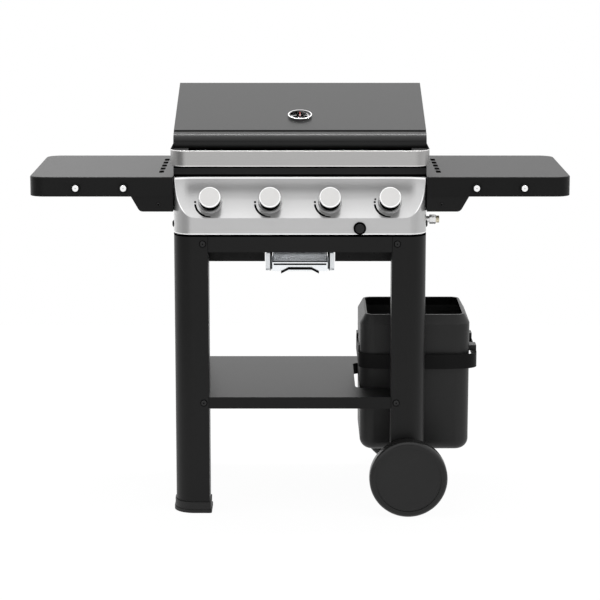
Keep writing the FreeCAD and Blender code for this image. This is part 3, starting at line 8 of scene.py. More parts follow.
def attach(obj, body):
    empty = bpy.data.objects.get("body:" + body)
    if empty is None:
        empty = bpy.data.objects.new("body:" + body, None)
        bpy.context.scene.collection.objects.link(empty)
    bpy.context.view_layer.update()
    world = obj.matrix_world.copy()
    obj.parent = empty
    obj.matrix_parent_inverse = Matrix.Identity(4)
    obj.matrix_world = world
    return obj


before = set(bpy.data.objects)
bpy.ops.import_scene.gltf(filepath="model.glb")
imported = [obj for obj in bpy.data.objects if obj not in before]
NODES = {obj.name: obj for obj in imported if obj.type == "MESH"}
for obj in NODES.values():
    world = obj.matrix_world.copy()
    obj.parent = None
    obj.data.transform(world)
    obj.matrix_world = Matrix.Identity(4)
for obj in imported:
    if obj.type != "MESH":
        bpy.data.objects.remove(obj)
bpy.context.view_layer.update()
MM = 0.001

# Camera of the photograph: a long lens, a little above the lid, looking slightly down
CAMERA_PLACE = (0.0, -5.842, 1.610)
CAMERA_PITCH = 10.66
CAMERA_LENS = 134.8

# Sizes of the control panel and the burners, in millimetres
SCOOP_RADIUS = 250
SCOOP_CENTRE = (-446.24, 922.75)
SCOOP_END = 255
SCOOP_END_ROUND = 150
PANEL_SIDE = 320
PANEL_FRONT = 251
PANEL_CORNER = 48
KNOB_PLACES = (-226.5, -75.5, 75.5, 226.5)
KNOB_FOOT = (-226.19, 804.1)
KNOB_TILT = math.radians(26.5)
BURNER_RADIUS = 12
BURNER_LEVEL = 782
PORTS_START = -136
PORT_TILT = math.radians(40)

# Printed arcs round each knob: first and last angle in degrees, inner and outer radius in millimetres
MARK_DROP = 2.5
MARK_LEVELS = (-0.05, 0.12)
MARK_ARCS = ((185, 250, 35.3, 40.5), (250, 272, 36.4, 39.6), (172, 180, 35.4, 40.6))
LAST_KNOB_ARC = (161, 168, 35.6, 40.0)

# Place of the thermometer on the lid, in metres
DIAL_PLACE = Vector((0, -75, 1004.502)) * MM
LID_SLOPE = math.radians(15.8)
DIAL = Matrix.Translation(DIAL_PLACE) @ Matrix.Rotation(LID_SLOPE, 4, "X")

# Thermometer: angles in degrees, radii from the needle's axis and heights above the lid in millimetres
DIAL_SWEEP = 270
PIN_RADIUS = 1.2
FACE_RADIUS = 26.3
FACE_LEVELS = (2.95, 3.12)
COLLAR_RADII = (2.5, 2.2)
COLLAR_LEVELS = (4.1, 4.8)
PRINT_LEVELS = (3.1, 3.2)
PRINT_MIDDLE = 3.16
ZONES = ((50, 118), (226, 270))
ZONE_RADII = (20.0, 22.2)
NUMERALS = ("0", "100", "200", "300")
NUMERAL_RADIUS = 14.5
NUMERAL_SIZE = 7
NUMERAL_DEPTH = 0.04

# Fixings of the right half, the flat plugs of painted shade that stand for sockets, dimples and ports,
# and the rings of painted shade round the screws, in millimetres
FRONT = Vector((0, -1, 0))
LEG_SCREWS = ((245.5, -255, 701), (245.5, -255, 290))
SIDE_SCREW = (324, -197.5, 745.55)
SMALL_SCREW = (357, -239, 799.2)
PEGS = ((444.5, -245, 841.2), (564.8, -245, 841.2))
PLUG_DEPTH = 0.2
SOCKET_RADIUS = 2.0
SMALL_SOCKET_RADIUS = 2.6
SOCKET_SIDES = 6
DIMPLE_RADIUS = 1.5
DIMPLE_SIDES = 24
SHADE_RING_DEPTH = 3
SHADE_RING_RADIUS = 7.5
SHADE_RING_WIRE = 1.3

# Where a finish changes or painted shade and highlights begin, in millimetres: where the change starts,
# and where it is complete
CART_TOP = (718.8, 719.6)
LID_FOOT = (950, 934)
LID_FRONT = (-150, -153)
LIP_TOP = (887.4, 888.0)
LIP_FOOT = (871.6, 870.8)
LIP_FRONT = (-188, -191)
SLOT_WALL = (869.1, 868.8)
SLOT_REACH = (420, 410)
SLOT_START = (-200, -190)
RAIL_EDGE = (76.2, 75.8)
TRAY_INSIDE = (69.5, 69.3)
TRAY_START = (-234.5, -234.3)
TRAY_FLOOR = (629.5, 629.7)
TRAY_BLACK_END = (-87, -93)
BAND_TOP = (936.0, 936.8)
BAND_FOOT = (900.8, 899.8)
PANEL_TOP = (860.0, 861.2)
PANEL_FOOT = (728.5, 727.0)
FASCIA_TOP = (765, 768)
SCOOP_ENDS = (285, 300)
ROLL_START = (0.2, 0.6)
ROLL_END = (2.6, 1.8)
CAP_RIM = (24.1, 24.7)
CASE_RIM = (5.8, 6.4)
INLET_THREAD = (345, 346)
PAN_SIDE = (252, 253)
PAN_FRONT = (-147, -148)
PAN_BACK = (182, 183)

# Brightness of the studio's walls by their turn, from behind the object to ahead of it
WALL_LEFT = [
    (0.0, 1.0), (0.2, 1.0), (0.34, 0.55), (0.5, 0.42), (0.65, 0.25),
    (0.76, 0.07), (0.9, 0.07), (0.955, 0.25), (0.985, 0.85), (1.0, 1.0),
]
WALL_RIGHT = [(0.0, 1.0), (0.4, 0.9), (0.6, 0.7), (0.8, 0.55), (0.93, 0.6), (0.975, 0.85), (1.0, 1.0)]

# Brightness of the studio by height, from straight below to straight above
LIGHT_AHEAD = [
    (0.0, 1.0), (0.7, 1.05), (0.744, 0.0), (0.778, 0.0), (0.84, 1.45), (0.933, 2.0), (1.0, 2.1),
]
LIGHT_BESIDE = [(0.0, 1.0), (0.6, 1.2), (0.75, 1.6), (1.0, 1.95)]
LIGHT_BEHIND = [(0.0, 1.0), (0.5, 1.2), (0.56, 1.5), (0.65, 1.5), (0.8, 1.85), (1.0, 1.95)]

# Where one part of the studio fades into the next, by direction, and how far its back leans to one side
SIDE_FADE = (-0.1, 0.1)
WALL_TOP = (0.0, 0.15)
AHEAD_FADE = (0.84, 0.96)
BEHIND_FADE = (0.15, -0.35)
LEAN_HEIGHT = (0.55, 0.3)
LEAN_SIDES = (-0.3, 0.3)
LEAN_LEVELS = (1.15, 0.85)

# How much of the white surroundings the gloss of the object mirrors; the rest is the shaded studio
MIRRORED_WHITE = 0.15


class Wire:
    """A value inside a node tree; arithmetic on it adds Math nodes."""

    def __init__(self, nodes, socket):
        self.nodes = nodes
        self.socket = socket

    def maths(self, operation, first, second=None):
        inputs = {0: first}
        if second is not None:
            inputs[1] = second
        return self.nodes.add("ShaderNodeMath", {"operation": operation}, inputs)

    def __add__(self, other):
        return self.maths("ADD", self, other)

    def __radd__(self, other):
        return self.maths("ADD", other, self)

    def __sub__(self, other):
        return self.maths("SUBTRACT", self, other)

    def __rsub__(self, other):
        return self.maths("SUBTRACT", other, self)

    def __mul__(self, other):
        return self.maths("MULTIPLY", self, other)

    def __rmul__(self, other):
        return self.maths("MULTIPLY", other, self)

    def __truediv__(self, other):
        return self.maths("DIVIDE", self, other)

    def __pow__(self, other):
        return self.maths("POWER", self, other)

    def __abs__(self):
        return self.maths("ABSOLUTE", self)

    def most(self, other):
        return self.maths("MAXIMUM", self, other)


class Nodes:
    """A node tree with one method that adds any node."""

    def __init__(self, tree):
        self.tree = tree
        tree.nodes.clear()

    def add(self, kind, settings=None, inputs=None, output=0):
        """Adds a node and gives one of its outputs, or nothing for a node that ends the tree."""
        node = self.tree.nodes.new(kind)
        for name, value in (settings or {}).items():
            if name == "stops":
                self.set_stops(node.color_ramp, value)
            else:
                setattr(node, name, value)
        for name, value in (inputs or {}).items():
            self.feed(node.inputs[name], value)
        return Wire(self, node.outputs[output]) if node.outputs else None

    def set_stops(self, ramp, stops):
        while len(ramp.elements) < len(stops):
            ramp.elements.new(1.0)
        for element, (position, level) in zip(ramp.elements, stops):
            element.position = position
            element.color = (level, level, level, 1.0)

    def feed(self, socket, value):
        if isinstance(value, Wire):
            self.tree.links.new(value.socket, socket)
        else:
            socket.default_value = value

    def spread(self, value, low, high, out_low=0.0, out_high=1.0):
        """Maps a value between two limits to two others, and holds it there."""
        inputs = {0: value, 1: low, 2: high, 3: out_low, 4: out_high}
        return self.add("ShaderNodeMapRange", {"interpolation_type": "SMOOTHSTEP"}, inputs)

    def ramp(self, stops, value):
        """Level that a value reaches on a row of stops."""
        return self.add("ShaderNodeValToRGB", {"stops": stops}, {0: value})

    def mix(self, factor, first, second, blend="MIX"):
        """Blend of two colours."""
        settings = {"data_type": "RGBA", "blend_type": blend}
        inputs = {0: factor, 6: first, 7: second}
        return self.add("ShaderNodeMix", settings, inputs, output=2)


class Look(Nodes):
    """A material round one Principled shader."""

    def __init__(self, name, constants):
        self.material = bpy.data.materials.new(name)
        self.material.use_nodes = True
        super().__init__(self.material.node_tree)
        self.finish = self.add("ShaderNodeBsdfPrincipled")
        self.shader = self.finish.socket.node
        self.place = self.add("ShaderNodeTexCoord", output="Object")
        self.set(constants)

    def set(self, values):
        """Gives the Principled shader's sockets their values or links."""
        for name, value in values.items():
            self.feed(self.shader.inputs[name], value)

    def stretched(self, scale):
        return self.add("ShaderNodeMapping", None, {"Vector": self.place, "Scale": scale})

    def noise(self, scale, detail, roughness=0.55, at=None):
        inputs = {"Vector": at or self.place, "Scale": scale, "Detail": detail, "Roughness": roughness}
        return self.add("ShaderNodeTexNoise", None, inputs)

    def cells(self, scale):
        return self.add("ShaderNodeTexVoronoi", None, {"Vector": self.place, "Scale": scale})

    def bump(self, height, strength, distance):
        inputs = {"Height": height, "Strength": strength, "Distance": distance}
        self.set({"Normal": self.add("ShaderNodeBump", None, inputs)})

    def axis(self, name):
        return self.add("ShaderNodeSeparateXYZ", None, {0: self.place}, output=name)

    def step(self, value, places):
        """Zero up to the first of two places in millimetres, rising to one at the second."""
        start, end = places
        return self.spread(value, start * MM, end * MM)

    def past(self, axis, places):
        """Step along an axis."""
        return self.step(self.axis(axis), places)

    def beside(self, places):
        """Step along X, the same on both sides of the middle."""
        return self.step(abs(self.axis("X")), places)

    def darken(self, mask):
        """Plain black where the mask is one: painted shade in gaps, slots and behind the handle band, and
        the black front part of the tray.
        """
        black = self.add("ShaderNodeBsdfDiffuse", None, {"Color": grey(0.0)})
        self.finish = self.add("ShaderNodeMixShader", None, {0: mask, 1: self.finish, 2: black})

    def done(self):
        """Ends the tree and gives the material."""
        self.add("ShaderNodeOutputMaterial", None, {"Surface": self.finish})
        return self.material


class Pattern(Nodes):
    """A Geometry Nodes tree that sets out one small shape many times."""

    KINDS = {int: "NodeSocketInt", float: "NodeSocketFloat"}

    def __init__(self, name, sizes):
        self.sizes = sizes
        super().__init__(bpy.data.node_groups.new(name, "GeometryNodeTree"))
        sockets = self.tree.interface
        sockets.new_socket("Places", in_out="INPUT", socket_type="NodeSocketGeometry")
        for size, value in sizes.items():
            sockets.new_socket(size, in_out="INPUT", socket_type=self.KINDS[type(value)])
        sockets.new_socket("Shapes", in_out="OUTPUT", socket_type="NodeSocketGeometry")

    def size(self, name):
        return self.add("NodeGroupInput", output=name)

    def set_out(self, points, shape, turn, material):
        """Puts the shape on every point, turned, and ends the tree."""
        inputs = {"Points": points, "Instance": shape, "Rotation": turn}
        copies = self.add("GeometryNodeInstanceOnPoints", None, inputs)
        solid = self.add("GeometryNodeRealizeInstances", None, {0: copies})
        dressed = self.add("GeometryNodeSetMaterial", None, {"Geometry": solid, "Material": material})
        self.add("NodeGroupOutput", None, {0: dressed})

    def facing(self):
        """Turn that points a shape's Z along the way its place faces."""
        settings = {"data_type": "FLOAT_VECTOR"}
        way = self.add("GeometryNodeInputNamedAttribute", settings, {"Name": "facing"})
        return self.add("FunctionNodeAlignRotationToVector", {"axis": "Z"}, {"Vector": way})

    def grow(self, places):
        """Plain mesh of the shapes that the tree sets out on a mesh of places."""
        carrier = bpy.data.objects.new(self.tree.name, places)
        bpy.context.scene.collection.objects.link(carrier)
        pattern = carrier.modifiers.new("pattern", "NODES")
        pattern.node_group = self.tree
        for name, value in self.sizes.items():
            pattern[self.tree.interface.items_tree[name].identifier] = value
        evaluated = carrier.evaluated_get(bpy.context.evaluated_depsgraph_get())
        mesh = bpy.data.meshes.new_from_object(evaluated)
        carrier.modifiers.remove(pattern)
        bpy.data.objects.remove(carrier)
        return mesh


def grey(level, warm=0.0):
    return (level * (1 + warm), level, level * (1 - warm), 1.0)


# Finishes
def powder_coat(name, level, rough, gloss, shade=None):
    """Black powder coat with fine orange peel, a little dusty; plain black as painted shade where a shade
    mask is given.
    """
    look = Look(name, {"Specular IOR Level": gloss})
    peel = look.noise(scale=900, detail=2.0)
    cloud = look.noise(scale=6, detail=4.0)
    look.set(
        {
            "Base Color": look.mix(cloud, grey(level * 0.85), grey(level * 1.2)),
            "Roughness": look.spread(peel + cloud * 0.1, 0.4, 0.7, rough - 0.02, rough + 0.02),
        }
    )
    look.bump(peel, strength=0.12, distance=0.0004)
    if shade:
        look.darken(shade(look))
    return look.done()


def cart_shade(look):
    """Painted shade: plain black on the top edges of the cart, under the panel and the firebox."""
    return look.past("Z", CART_TOP)


def lid_shade(look):
    """Painted shade: plain black on the lower front of the lid, behind the handle band."""
    return look.past("Z", LID_FOOT) * look.past("Y", LID_FRONT)


def lip_shade(look):
    """Painted shade: plain black on the upper and lower edge of the firebox's lip in front."""
    edges = look.past("Z", LIP_TOP).most(look.past("Z", LIP_FOOT))
    return edges * look.past("Y", LIP_FRONT)


def slot_shade(look):
    """Painted shade: plain black on the walls of the slots in a side shelf, and on its underside there.
    """
    return look.past("Z", SLOT_WALL) * look.beside(SLOT_REACH) * look.past("Y", SLOT_START)


def moulded_plastic(name, level, rough, gloss=0.3):
    """Black moulded plastic with a fine spark-eroded grain."""
    look = Look(name, {"Specular IOR Level": gloss})
    pits = look.cells(scale=1600)
    cloud = look.noise(scale=9, detail=3.0)
    look.set(
        {
            "Base Color": look.mix(cloud, grey(level * 0.85), grey(level * 1.25)),
            "Roughness": look.spread(pits, 0.0, 0.8, rough - 0.06, rough + 0.06),
        }
    )
    look.bump(pits, strength=0.1, distance=0.0003)
    return look.done()


def band_steel(name):
    """Metal brushed along the band in fine scratches, lighter along its top and bottom edges as painted
    highlights.
    """
    warm = 0.012
    look = Look(name, {"Metallic": 1.0})
    lines = look.noise(scale=1.0, detail=4.0, roughness=0.7, at=look.stretched((6.0, 900.0, 900.0)))
    top = look.past("Z", BAND_TOP)
    face = look.mix(lines, grey(0.43, warm), grey(0.44, warm))
    upper = look.mix(top, face, grey(0.5, warm))
    look.set(
        {
            "Base Color": look.mix(look.past("Z", BAND_FOOT), upper, grey(0.95, warm)),
            "Roughness": look.spread(lines, 0.3, 0.7, 0.27, 0.3) + top * 0.15,
        }
    )
    look.bump(lines, strength=0.006, distance=0.0002)
    return look.done()


def satin(look, colour, smooth, dull):
    """Gives a metal its colour and an even satin between two roughnesses."""
    grain = look.noise(scale=1400, detail=2.0)
    look.set({"Base Color": colour, "Roughness": look.spread(grain, 0.3, 0.7, smooth, dull)})
    look.bump(grain, strength=0.05, distance=0.0002)
    return look.done()


def satin_metal(name, level, rough):
    """Plain metal with a satin finish."""
    look = Look(name, {"Metallic": 1.0})
    colour = look.mix(look.noise(scale=12, detail=3.0), grey(level * 0.96), grey(level * 1.03))
    return satin(look, colour, rough - 0.04, rough + 0.04)


def panel_steel(name):
    """Satin lacquered steel; along its rolled top and bottom edges and round the scoop's ends the colour
    is lighter, as painted highlights.
    """
    look = Look(name, {"Metallic": 0.6})
    aside = (abs(look.axis("X")) - (PANEL_SIDE - PANEL_CORNER) * MM).most(0)
    ahead = (0 - look.axis("Y") - (PANEL_FRONT - PANEL_CORNER) * MM).most(0)
    depth = PANEL_CORNER * MM - (aside * aside + ahead * ahead) ** 0.5
    roll = look.step(depth, ROLL_START) * look.step(depth, ROLL_END)
    ends = roll * look.beside(SCOOP_ENDS) * look.past("Z", FASCIA_TOP)
    rim = look.past("Z", PANEL_TOP).most(look.past("Z", PANEL_FOOT)).most(ends)
    lacquer = look.mix(look.noise(scale=12, detail=3.0), grey(0.445), grey(0.465))
    return satin(look, look.mix(rim, lacquer, grey(0.95)), 0.15, 0.22)


def cap_metal(name):
    """Satin cap of a knob, lighter round its rim as a painted highlight; the four knobs stand at equal
    steps.
    """
    look = Look(name, {"Metallic": 0.8})
    pitch = (KNOB_PLACES[1] - KNOB_PLACES[0]) * MM
    across = abs(abs(look.axis("X")) - pitch) - pitch / 2
    foot_y, foot_z = KNOB_FOOT
    behind = (look.axis("Y") - foot_y * MM) * math.sin(KNOB_TILT)
    above = (look.axis("Z") - foot_z * MM) * math.cos(KNOB_TILT)
    up = behind + above
    rim = look.step((across * across + up * up) ** 0.5, CAP_RIM)
    face = look.mix(look.noise(scale=12, detail=3.0), grey(0.53, 0.01), grey(0.57, 0.01))
    return satin(look, look.mix(rim, face, grey(0.95)), 0.28, 0.36)


def case_metal(name):
    """Bright rim of the thermometer over a side painted darker grey as painted shade, so that it reads
    like the lid round it.
    """
    look = Look(name, {"Metallic": 1.0})
    forward = (look.axis("Y") - DIAL_PLACE.y) * -math.sin(LID_SLOPE)
    upward = (look.axis("Z") - DIAL_PLACE.z) * math.cos(LID_SLOPE)
    rim = look.step(forward + upward, CASE_RIM)
    return satin(look, look.mix(rim, grey(0.3), grey(0.93)), 0.12, 0.2)


def galvanised(name, level, rough, shade):
    """Zinc-coated sheet with faint spangles, plain black where its mask is one: painted shade on the
    rails' edges, and the black front part of the tray.
    """
    look = Look(name, {"Metallic": 0.9})
    spangle = look.cells(scale=70)
    grain = look.noise(scale=300, detail=3.0)
    look.set(
        {
            "Base Color": look.mix(spangle, grey(level * 0.94, -0.03), grey(level * 1.02, -0.02)),
            "Roughness": look.spread(spangle + grain * 0.4, 0.2, 1.0, rough * 0.8, rough * 1.2),
        }
    )
    look.bump(grain, strength=0.06, distance=0.0003)
    look.darken(shade(look))
    return look.done()


def rail_shade(look):
    """Painted shade: plain black on the edges of the rails that line the tray."""
    return look.beside(RAIL_EDGE)


def tray_front_black(look):
    """Floor and walls of the tray in its front part, made plain black."""
    inside = look.beside(TRAY_INSIDE) * look.past("Y", TRAY_START) * look.past("Z", TRAY_FLOOR)
    return inside * look.past("Y", TRAY_BLACK_END)


def cast_iron(name):
    look = Look(name, {"Specular IOR Level": 0.35})
    sand = look.noise(scale=420, detail=5.0, roughness=0.65)
    cloud = look.noise(scale=25, detail=3.0)
    look.set(
        {
            "Base Color": look.mix(cloud, grey(0.012), grey(0.03)),
            "Roughness": look.spread(sand, 0.3, 0.7, 0.5, 0.68),
        }
    )
    look.bump(sand, strength=0.5, distance=0.0006)
    return look.done()


def heated_steel(name):
    """Stainless steel with straw and blue tints where flames have reached it."""
    look = Look(name, {"Metallic": 1.0})
    heat = look.spread(look.noise(scale=14, detail=3.0), 0.4, 0.7)
    grain = look.noise(scale=500, detail=2.0)
    look.set(
        {
            "Base Color": look.mix(heat, (0.55, 0.54, 0.52, 1), (0.46, 0.4, 0.33, 1)),
            "Roughness": look.spread(grain, 0.3, 0.7, 0.32, 0.45),
        }
    )
    look.bump(grain, strength=0.06, distance=0.0002)
    return look.done()


def brass(name):
    look = Look(name, {"Metallic": 1.0})
    grain = look.noise(scale=600, detail=3.0)
    tone = look.noise(scale=30, detail=2.0)
    look.set(
        {
            "Base Color": look.mix(tone, (0.58, 0.42, 0.16, 1), (0.72, 0.54, 0.24, 1)),
            "Roughness": look.spread(grain, 0.3, 0.7, 0.24, 0.36),
        }
    )
    look.bump(grain, strength=0.05, distance=0.0002)
    return look.done()


def inlet_metal(name):
    """Plated fitting with a cut thread at its far end."""
    pitch = 1.4 * MM
    look = Look(name, {"Metallic": 0.8})
    tip = look.past("X", INLET_THREAD)
    turns = look.axis("X") * (2 * math.pi / pitch)
    ridges = turns.maths("SINE", turns)
    grain = look.noise(scale=600, detail=3.0)
    look.set(
        {
            "Base Color": look.mix(tip, (0.82, 0.82, 0.82, 1), (0.78, 0.72, 0.56, 1)),
            "Roughness": look.spread(grain, 0.3, 0.7, 0.22, 0.34),
        }
    )
    look.bump(ridges * tip + grain * 0.1, strength=0.6, distance=0.0004)
    return look.done()


def pan_enamel(name):
    """Drip pan: black enamel on its outer walls, bare zinc inside, where the fat runs."""
    look = Look(name, {"Specular IOR Level": 0.12})
    walls = look.beside(PAN_SIDE).most(look.past("Y", PAN_FRONT)).most(look.past("Y", PAN_BACK))
    spangle = look.cells(scale=70)
    zinc = look.mix(spangle, grey(0.86, -0.04), grey(0.94, -0.03))
    look.set(
        {
            "Base Color": look.mix(walls, zinc, grey(0.006)),
            "Metallic": 1 - walls,
            "Roughness": look.spread(spangle, 0.0, 0.8, 0.24, 0.4),
        }
    )
    look.bump(spangle, strength=0.05, distance=0.0003)
    return look.done()


def ceramic(name):
    look = Look(name, {"Specular IOR Level": 0.5})
    glaze = look.noise(scale=120, detail=2.0)
    look.set(
        {
            "Base Color": look.mix(glaze, (0.8, 0.79, 0.75, 1), (0.9, 0.89, 0.86, 1)),
            "Roughness": look.spread(glaze, 0.3, 0.7, 0.15, 0.25),
        }
    )
    return look.done()


def clear_glass(name):
    look = Look(name, {"Base Color": (1, 1, 1, 1), "Transmission Weight": 1.0, "IOR": 1.03})
    smear = look.noise(scale=40, detail=2.0)
    look.set({"Roughness": look.spread(smear, 0.4, 0.8, 0.0, 0.03)})
    return look.done()


def paint(name, colour, rough, gloss=0.3):
    """Printed or painted colour with a faint grain."""
    look = Look(name, {"Specular IOR Level": gloss})
    grain = look.noise(scale=800, detail=2.0)
    darker = tuple(c * 0.85 for c in colour[:3]) + (1.0,)
    look.set(
        {
            "Base Color": look.mix(grain, darker, colour),
            "Roughness": look.spread(grain, 0.3, 0.7, rough - 0.05, rough + 0.05),
        }
    )
    return look.done()


def dress_nodes():
    """Gives every solid its finish."""
    finishes = {
        powder_coat("cart_coat", 0.004, 0.42, 0.2, cart_shade): [
            "leg_front_left", "leg_front_right", "leg_rear_left", "leg_rear_right", "front_apron",
            "rear_apron", "side_rails",
        ],
        # The bottom shelf has its own, less glossy copy of the cart's coat: a shaded copy, as painted
        # shade under the cart.
        powder_coat("shelf_coat", 0.004, 0.42, 0.17): ["bottom_shelf"],
        powder_coat("hinge_coat", 0.004, 0.42, 0.2): ["hinge_brackets", "hinge_leaves"],
        # The two side shelves have copies of one coat that differ in level and gloss, as painted light:
        # the right one reads less lit than the left.
        powder_coat("wing_coat_left", 0.005, 0.40, 0.15, slot_shade): ["side_shelf_left"],
        powder_coat("wing_coat_right", 0.006, 0.42, 0.11, slot_shade): ["side_shelf_right"],
        powder_coat("gusset_coat", 0.005, 0.40, 0.15): ["shelf_brackets"],
        powder_coat("hoop_coat", 0.003, 0.5, 0.1): ["bin_hoop", "hoop_brackets"],
        powder_coat("screw_coat", 0.006, 0.35, 0.3): ["frame_screws"],
        powder_coat("lid_enamel", 0.005, 0.30, 0.25, lid_shade): ["lid_skin", "lid_ends"],
        powder_coat("firebox_enamel", 0.006, 0.5, 0.25, lip_shade): ["firebox"],
        pan_enamel("pan_enamel"): ["drip_pan"],
        moulded_plastic("bin_plastic", 0.006, 0.42): ["bin", "bin_collar"],
        moulded_plastic("wheel_plastic", 0.005, 0.3): ["wheel_front", "wheel_rear"],
        moulded_plastic("foot_plastic", 0.006, 0.5): ["leg_feet"],
        moulded_plastic("bush_rubber", 0.002, 0.55, 0.12): ["hook_bushes"],
        moulded_plastic("bracket_plastic", 0.004, 0.45, 0.25): ["handle_brackets"],
        moulded_plastic("grip_plastic", 0.001, 0.6, 0.05): ["tray_handle"],
        moulded_plastic("knob_plastic", 0.001, 0.6, 0.0): ["knob_1", "knob_2", "knob_3", "knob_4"],
        moulded_plastic("igniter_ring", 0.0005, 0.6, 0.03): ["igniter_module"],
        moulded_plastic("igniter_push", 0.003, 0.3): ["igniter_button"],
        panel_steel("panel_steel"): ["control_panel"],
        band_steel("band_steel"): ["lid_handle"],
        cap_metal("cap_metal"): ["knob_cap_1", "knob_cap_2", "knob_cap_3", "knob_cap_4"],
        satin_metal("bezel_metal", 0.6, 0.3): ["knob_bezels"],
        satin_metal("bright_metal", 0.93, 0.15): ["hook_pegs", "wheel_axle"],
        case_metal("case_metal"): ["thermometer_case"],
        satin_metal("spindle_metal", 0.5, 0.25): [f"valve_spindle_{n}" for n in range(1, 5)],
        galvanised("rail_zinc", 0.78, 0.38, rail_shade): ["tray_rails"],
        galvanised("tray_zinc", 0.93, 0.21, tray_front_black): ["grease_tray"],
        heated_steel("burner_steel"): ["burners", "flame_tamers"],
        satin_metal("pipe_metal", 0.45, 0.3): ["gas_manifold"],
        satin_metal("rack_wire", 0.6, 0.2): ["warming_rack"],
        cast_iron("grate_iron"): ["cooking_grates"],
        brass("valve_brass"): ["gas_valves"],
        inlet_metal("inlet_metal"): ["gas_inlet"],
        ceramic("electrode_ceramic"): ["igniter_electrodes"],
        clear_glass("dial_glass"): ["thermometer_glass"],
        paint("needle_paint", (0.6, 0.03, 0.02, 1), 0.5, 0.05): ["thermometer_needle"],
    }
    for material, names in finishes.items():
        for name in names:
            mesh = NODES[name].data
            mesh.materials.clear()
            mesh.materials.append(material)


# Camera, floor and light
def set_camera():
    data = bpy.data.cameras.new("camera")
    data.lens = CAMERA_LENS
    data.clip_end = 100
    camera = bpy.data.objects.new("camera", data)
    camera.location = CAMERA_PLACE
    camera.rotation_euler = (math.radians(90 - CAMERA_PITCH), 0, 0)
    bpy.context.scene.collection.objects.link(camera)
    bpy.context.scene.camera = camera


def shown_white(nodes, mirrored):
    """Share of white for rays that are seen, that go through glass, or that are mirrored."""
    seen = nodes.add("ShaderNodeLightPath", output="Is Camera Ray")
    through = nodes.add("ShaderNodeLightPath", output="Is Transmission Ray")
    gloss = nodes.add("ShaderNodeLightPath", output="Is Glossy Ray")
    return seen + through + gloss * mirrored


def set_floor():
    """Sheet of pale paper that shows white and keeps a faint shadow."""
    reach = 2.2
    most_white = 0.96
    mesh = bpy.data.meshes.new("floor")
    corners = [(-reach, -reach, 0), (reach, -reach, 0), (reach, reach, 0), (-reach, reach, 0)]
    mesh.from_pydata(corners, [], [(0, 1, 2, 3)])
    floor = bpy.data.objects.new("floor", mesh)
    bpy.context.scene.collection.objects.link(floor)
    material = bpy.data.materials.new("floor_paper")
    material.use_nodes = True
    nodes = Nodes(material.node_tree)
    plain = nodes.add("ShaderNodeBsdfDiffuse", None, {"Color": grey(0.8)})
    white = nodes.add("ShaderNodeEmission", None, {"Color": grey(1.0), "Strength": 1.0})
    share = shown_white(nodes, 1.0) * most_white
    shown = nodes.add("ShaderNodeMixShader", None, {0: share, 1: plain, 2: white})
    nodes.add("ShaderNodeOutputMaterial", None, {"Surface": shown})
    mesh.materials.append(material)


def set_world():
    """Studio with white walls, dark gaps, a dark strip ahead and a bright ceiling; white where seen."""
    world = bpy.data.worlds.new("studio")
    bpy.context.scene.world = world
    world.use_nodes = True
    nodes = Nodes(world.node_tree)
    way = nodes.add("ShaderNodeTexCoord", output="Generated")
    x = nodes.add("ShaderNodeSeparateXYZ", None, {0: way}, "X")
    y = nodes.add("ShaderNodeSeparateXYZ", None, {0: way}, "Y")
    z = nodes.add("ShaderNodeSeparateXYZ", None, {0: way}, "Z")
    ahead = (0 - y) / ((x * x + y * y) ** 0.5 + 0.001)
    height = 0.5 + 0.5 * z
    turn = 0.5 + 0.5 * ahead
    left = nodes.ramp(WALL_LEFT, turn)
    right = nodes.ramp(WALL_RIGHT, turn)
    gaps = nodes.mix(nodes.spread(x, *SIDE_FADE), left, right)
    walls = nodes.mix(nodes.spread(z, *WALL_TOP), gaps, grey(1.0))
    opposite = nodes.ramp(LIGHT_AHEAD, height)
    beside = nodes.ramp(LIGHT_BESIDE, height)
    rise = nodes.mix(nodes.spread(ahead, *AHEAD_FADE), beside, opposite)
    behind = nodes.ramp(LIGHT_BEHIND, height)
    lean = nodes.spread(x, *LEAN_SIDES, *LEAN_LEVELS)
    leaning = nodes.mix(nodes.spread(z, *LEAN_HEIGHT), behind, lean, "MULTIPLY")
    room = nodes.mix(nodes.spread(ahead, *BEHIND_FADE), rise, leaning)
    light = nodes.mix(1.0, walls, room, "MULTIPLY")
    shade = nodes.add("ShaderNodeBackground", None, {"Color": light, "Strength": 1.0})
    white = nodes.add("ShaderNodeBackground", None, {"Color": grey(1.0), "Strength": 1.0})
    share = shown_white(nodes, MIRRORED_WHITE)
    shown = nodes.add("ShaderNodeMixShader", None, {0: share, 1: shade, 2: white})
    nodes.add("ShaderNodeOutputWorld", None, {"Surface": shown})


def add_lamp(name, place, aim, size, power):
    data = bpy.data.lights.new(name, "AREA")
    data.shape = "RECTANGLE"
    data.size, data.size_y = size
    data.energy = power
    lamp = bpy.data.objects.new(name, data)
    lamp.location = place
    lamp.rotation_euler = (Vector(aim) - Vector(place)).to_track_quat("-Z", "Y").to_euler()
    bpy.context.scene.collection.objects.link(lamp)


def set_lamps():
    add_lamp("ceiling_softbox", place=(0, 0.2, 4.0), aim=(0, 0, 0.8), size=(4.0, 2.5), power=12)
    add_lamp("ceiling_strip", place=(0, 0.4, 3.2), aim=(0, 0.1, 0.8), size=(2.4, 0.15), power=55)


# Pieces made here
def add_piece(name, mesh, material, body):
    """Puts a mesh on a body, with its look and its plain material."""
    mesh.materials.clear()
    mesh.materials.append(material)
    piece = bpy.data.objects.new(name, mesh)
    bpy.context.scene.collection.objects.link(piece)
    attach(piece, body)


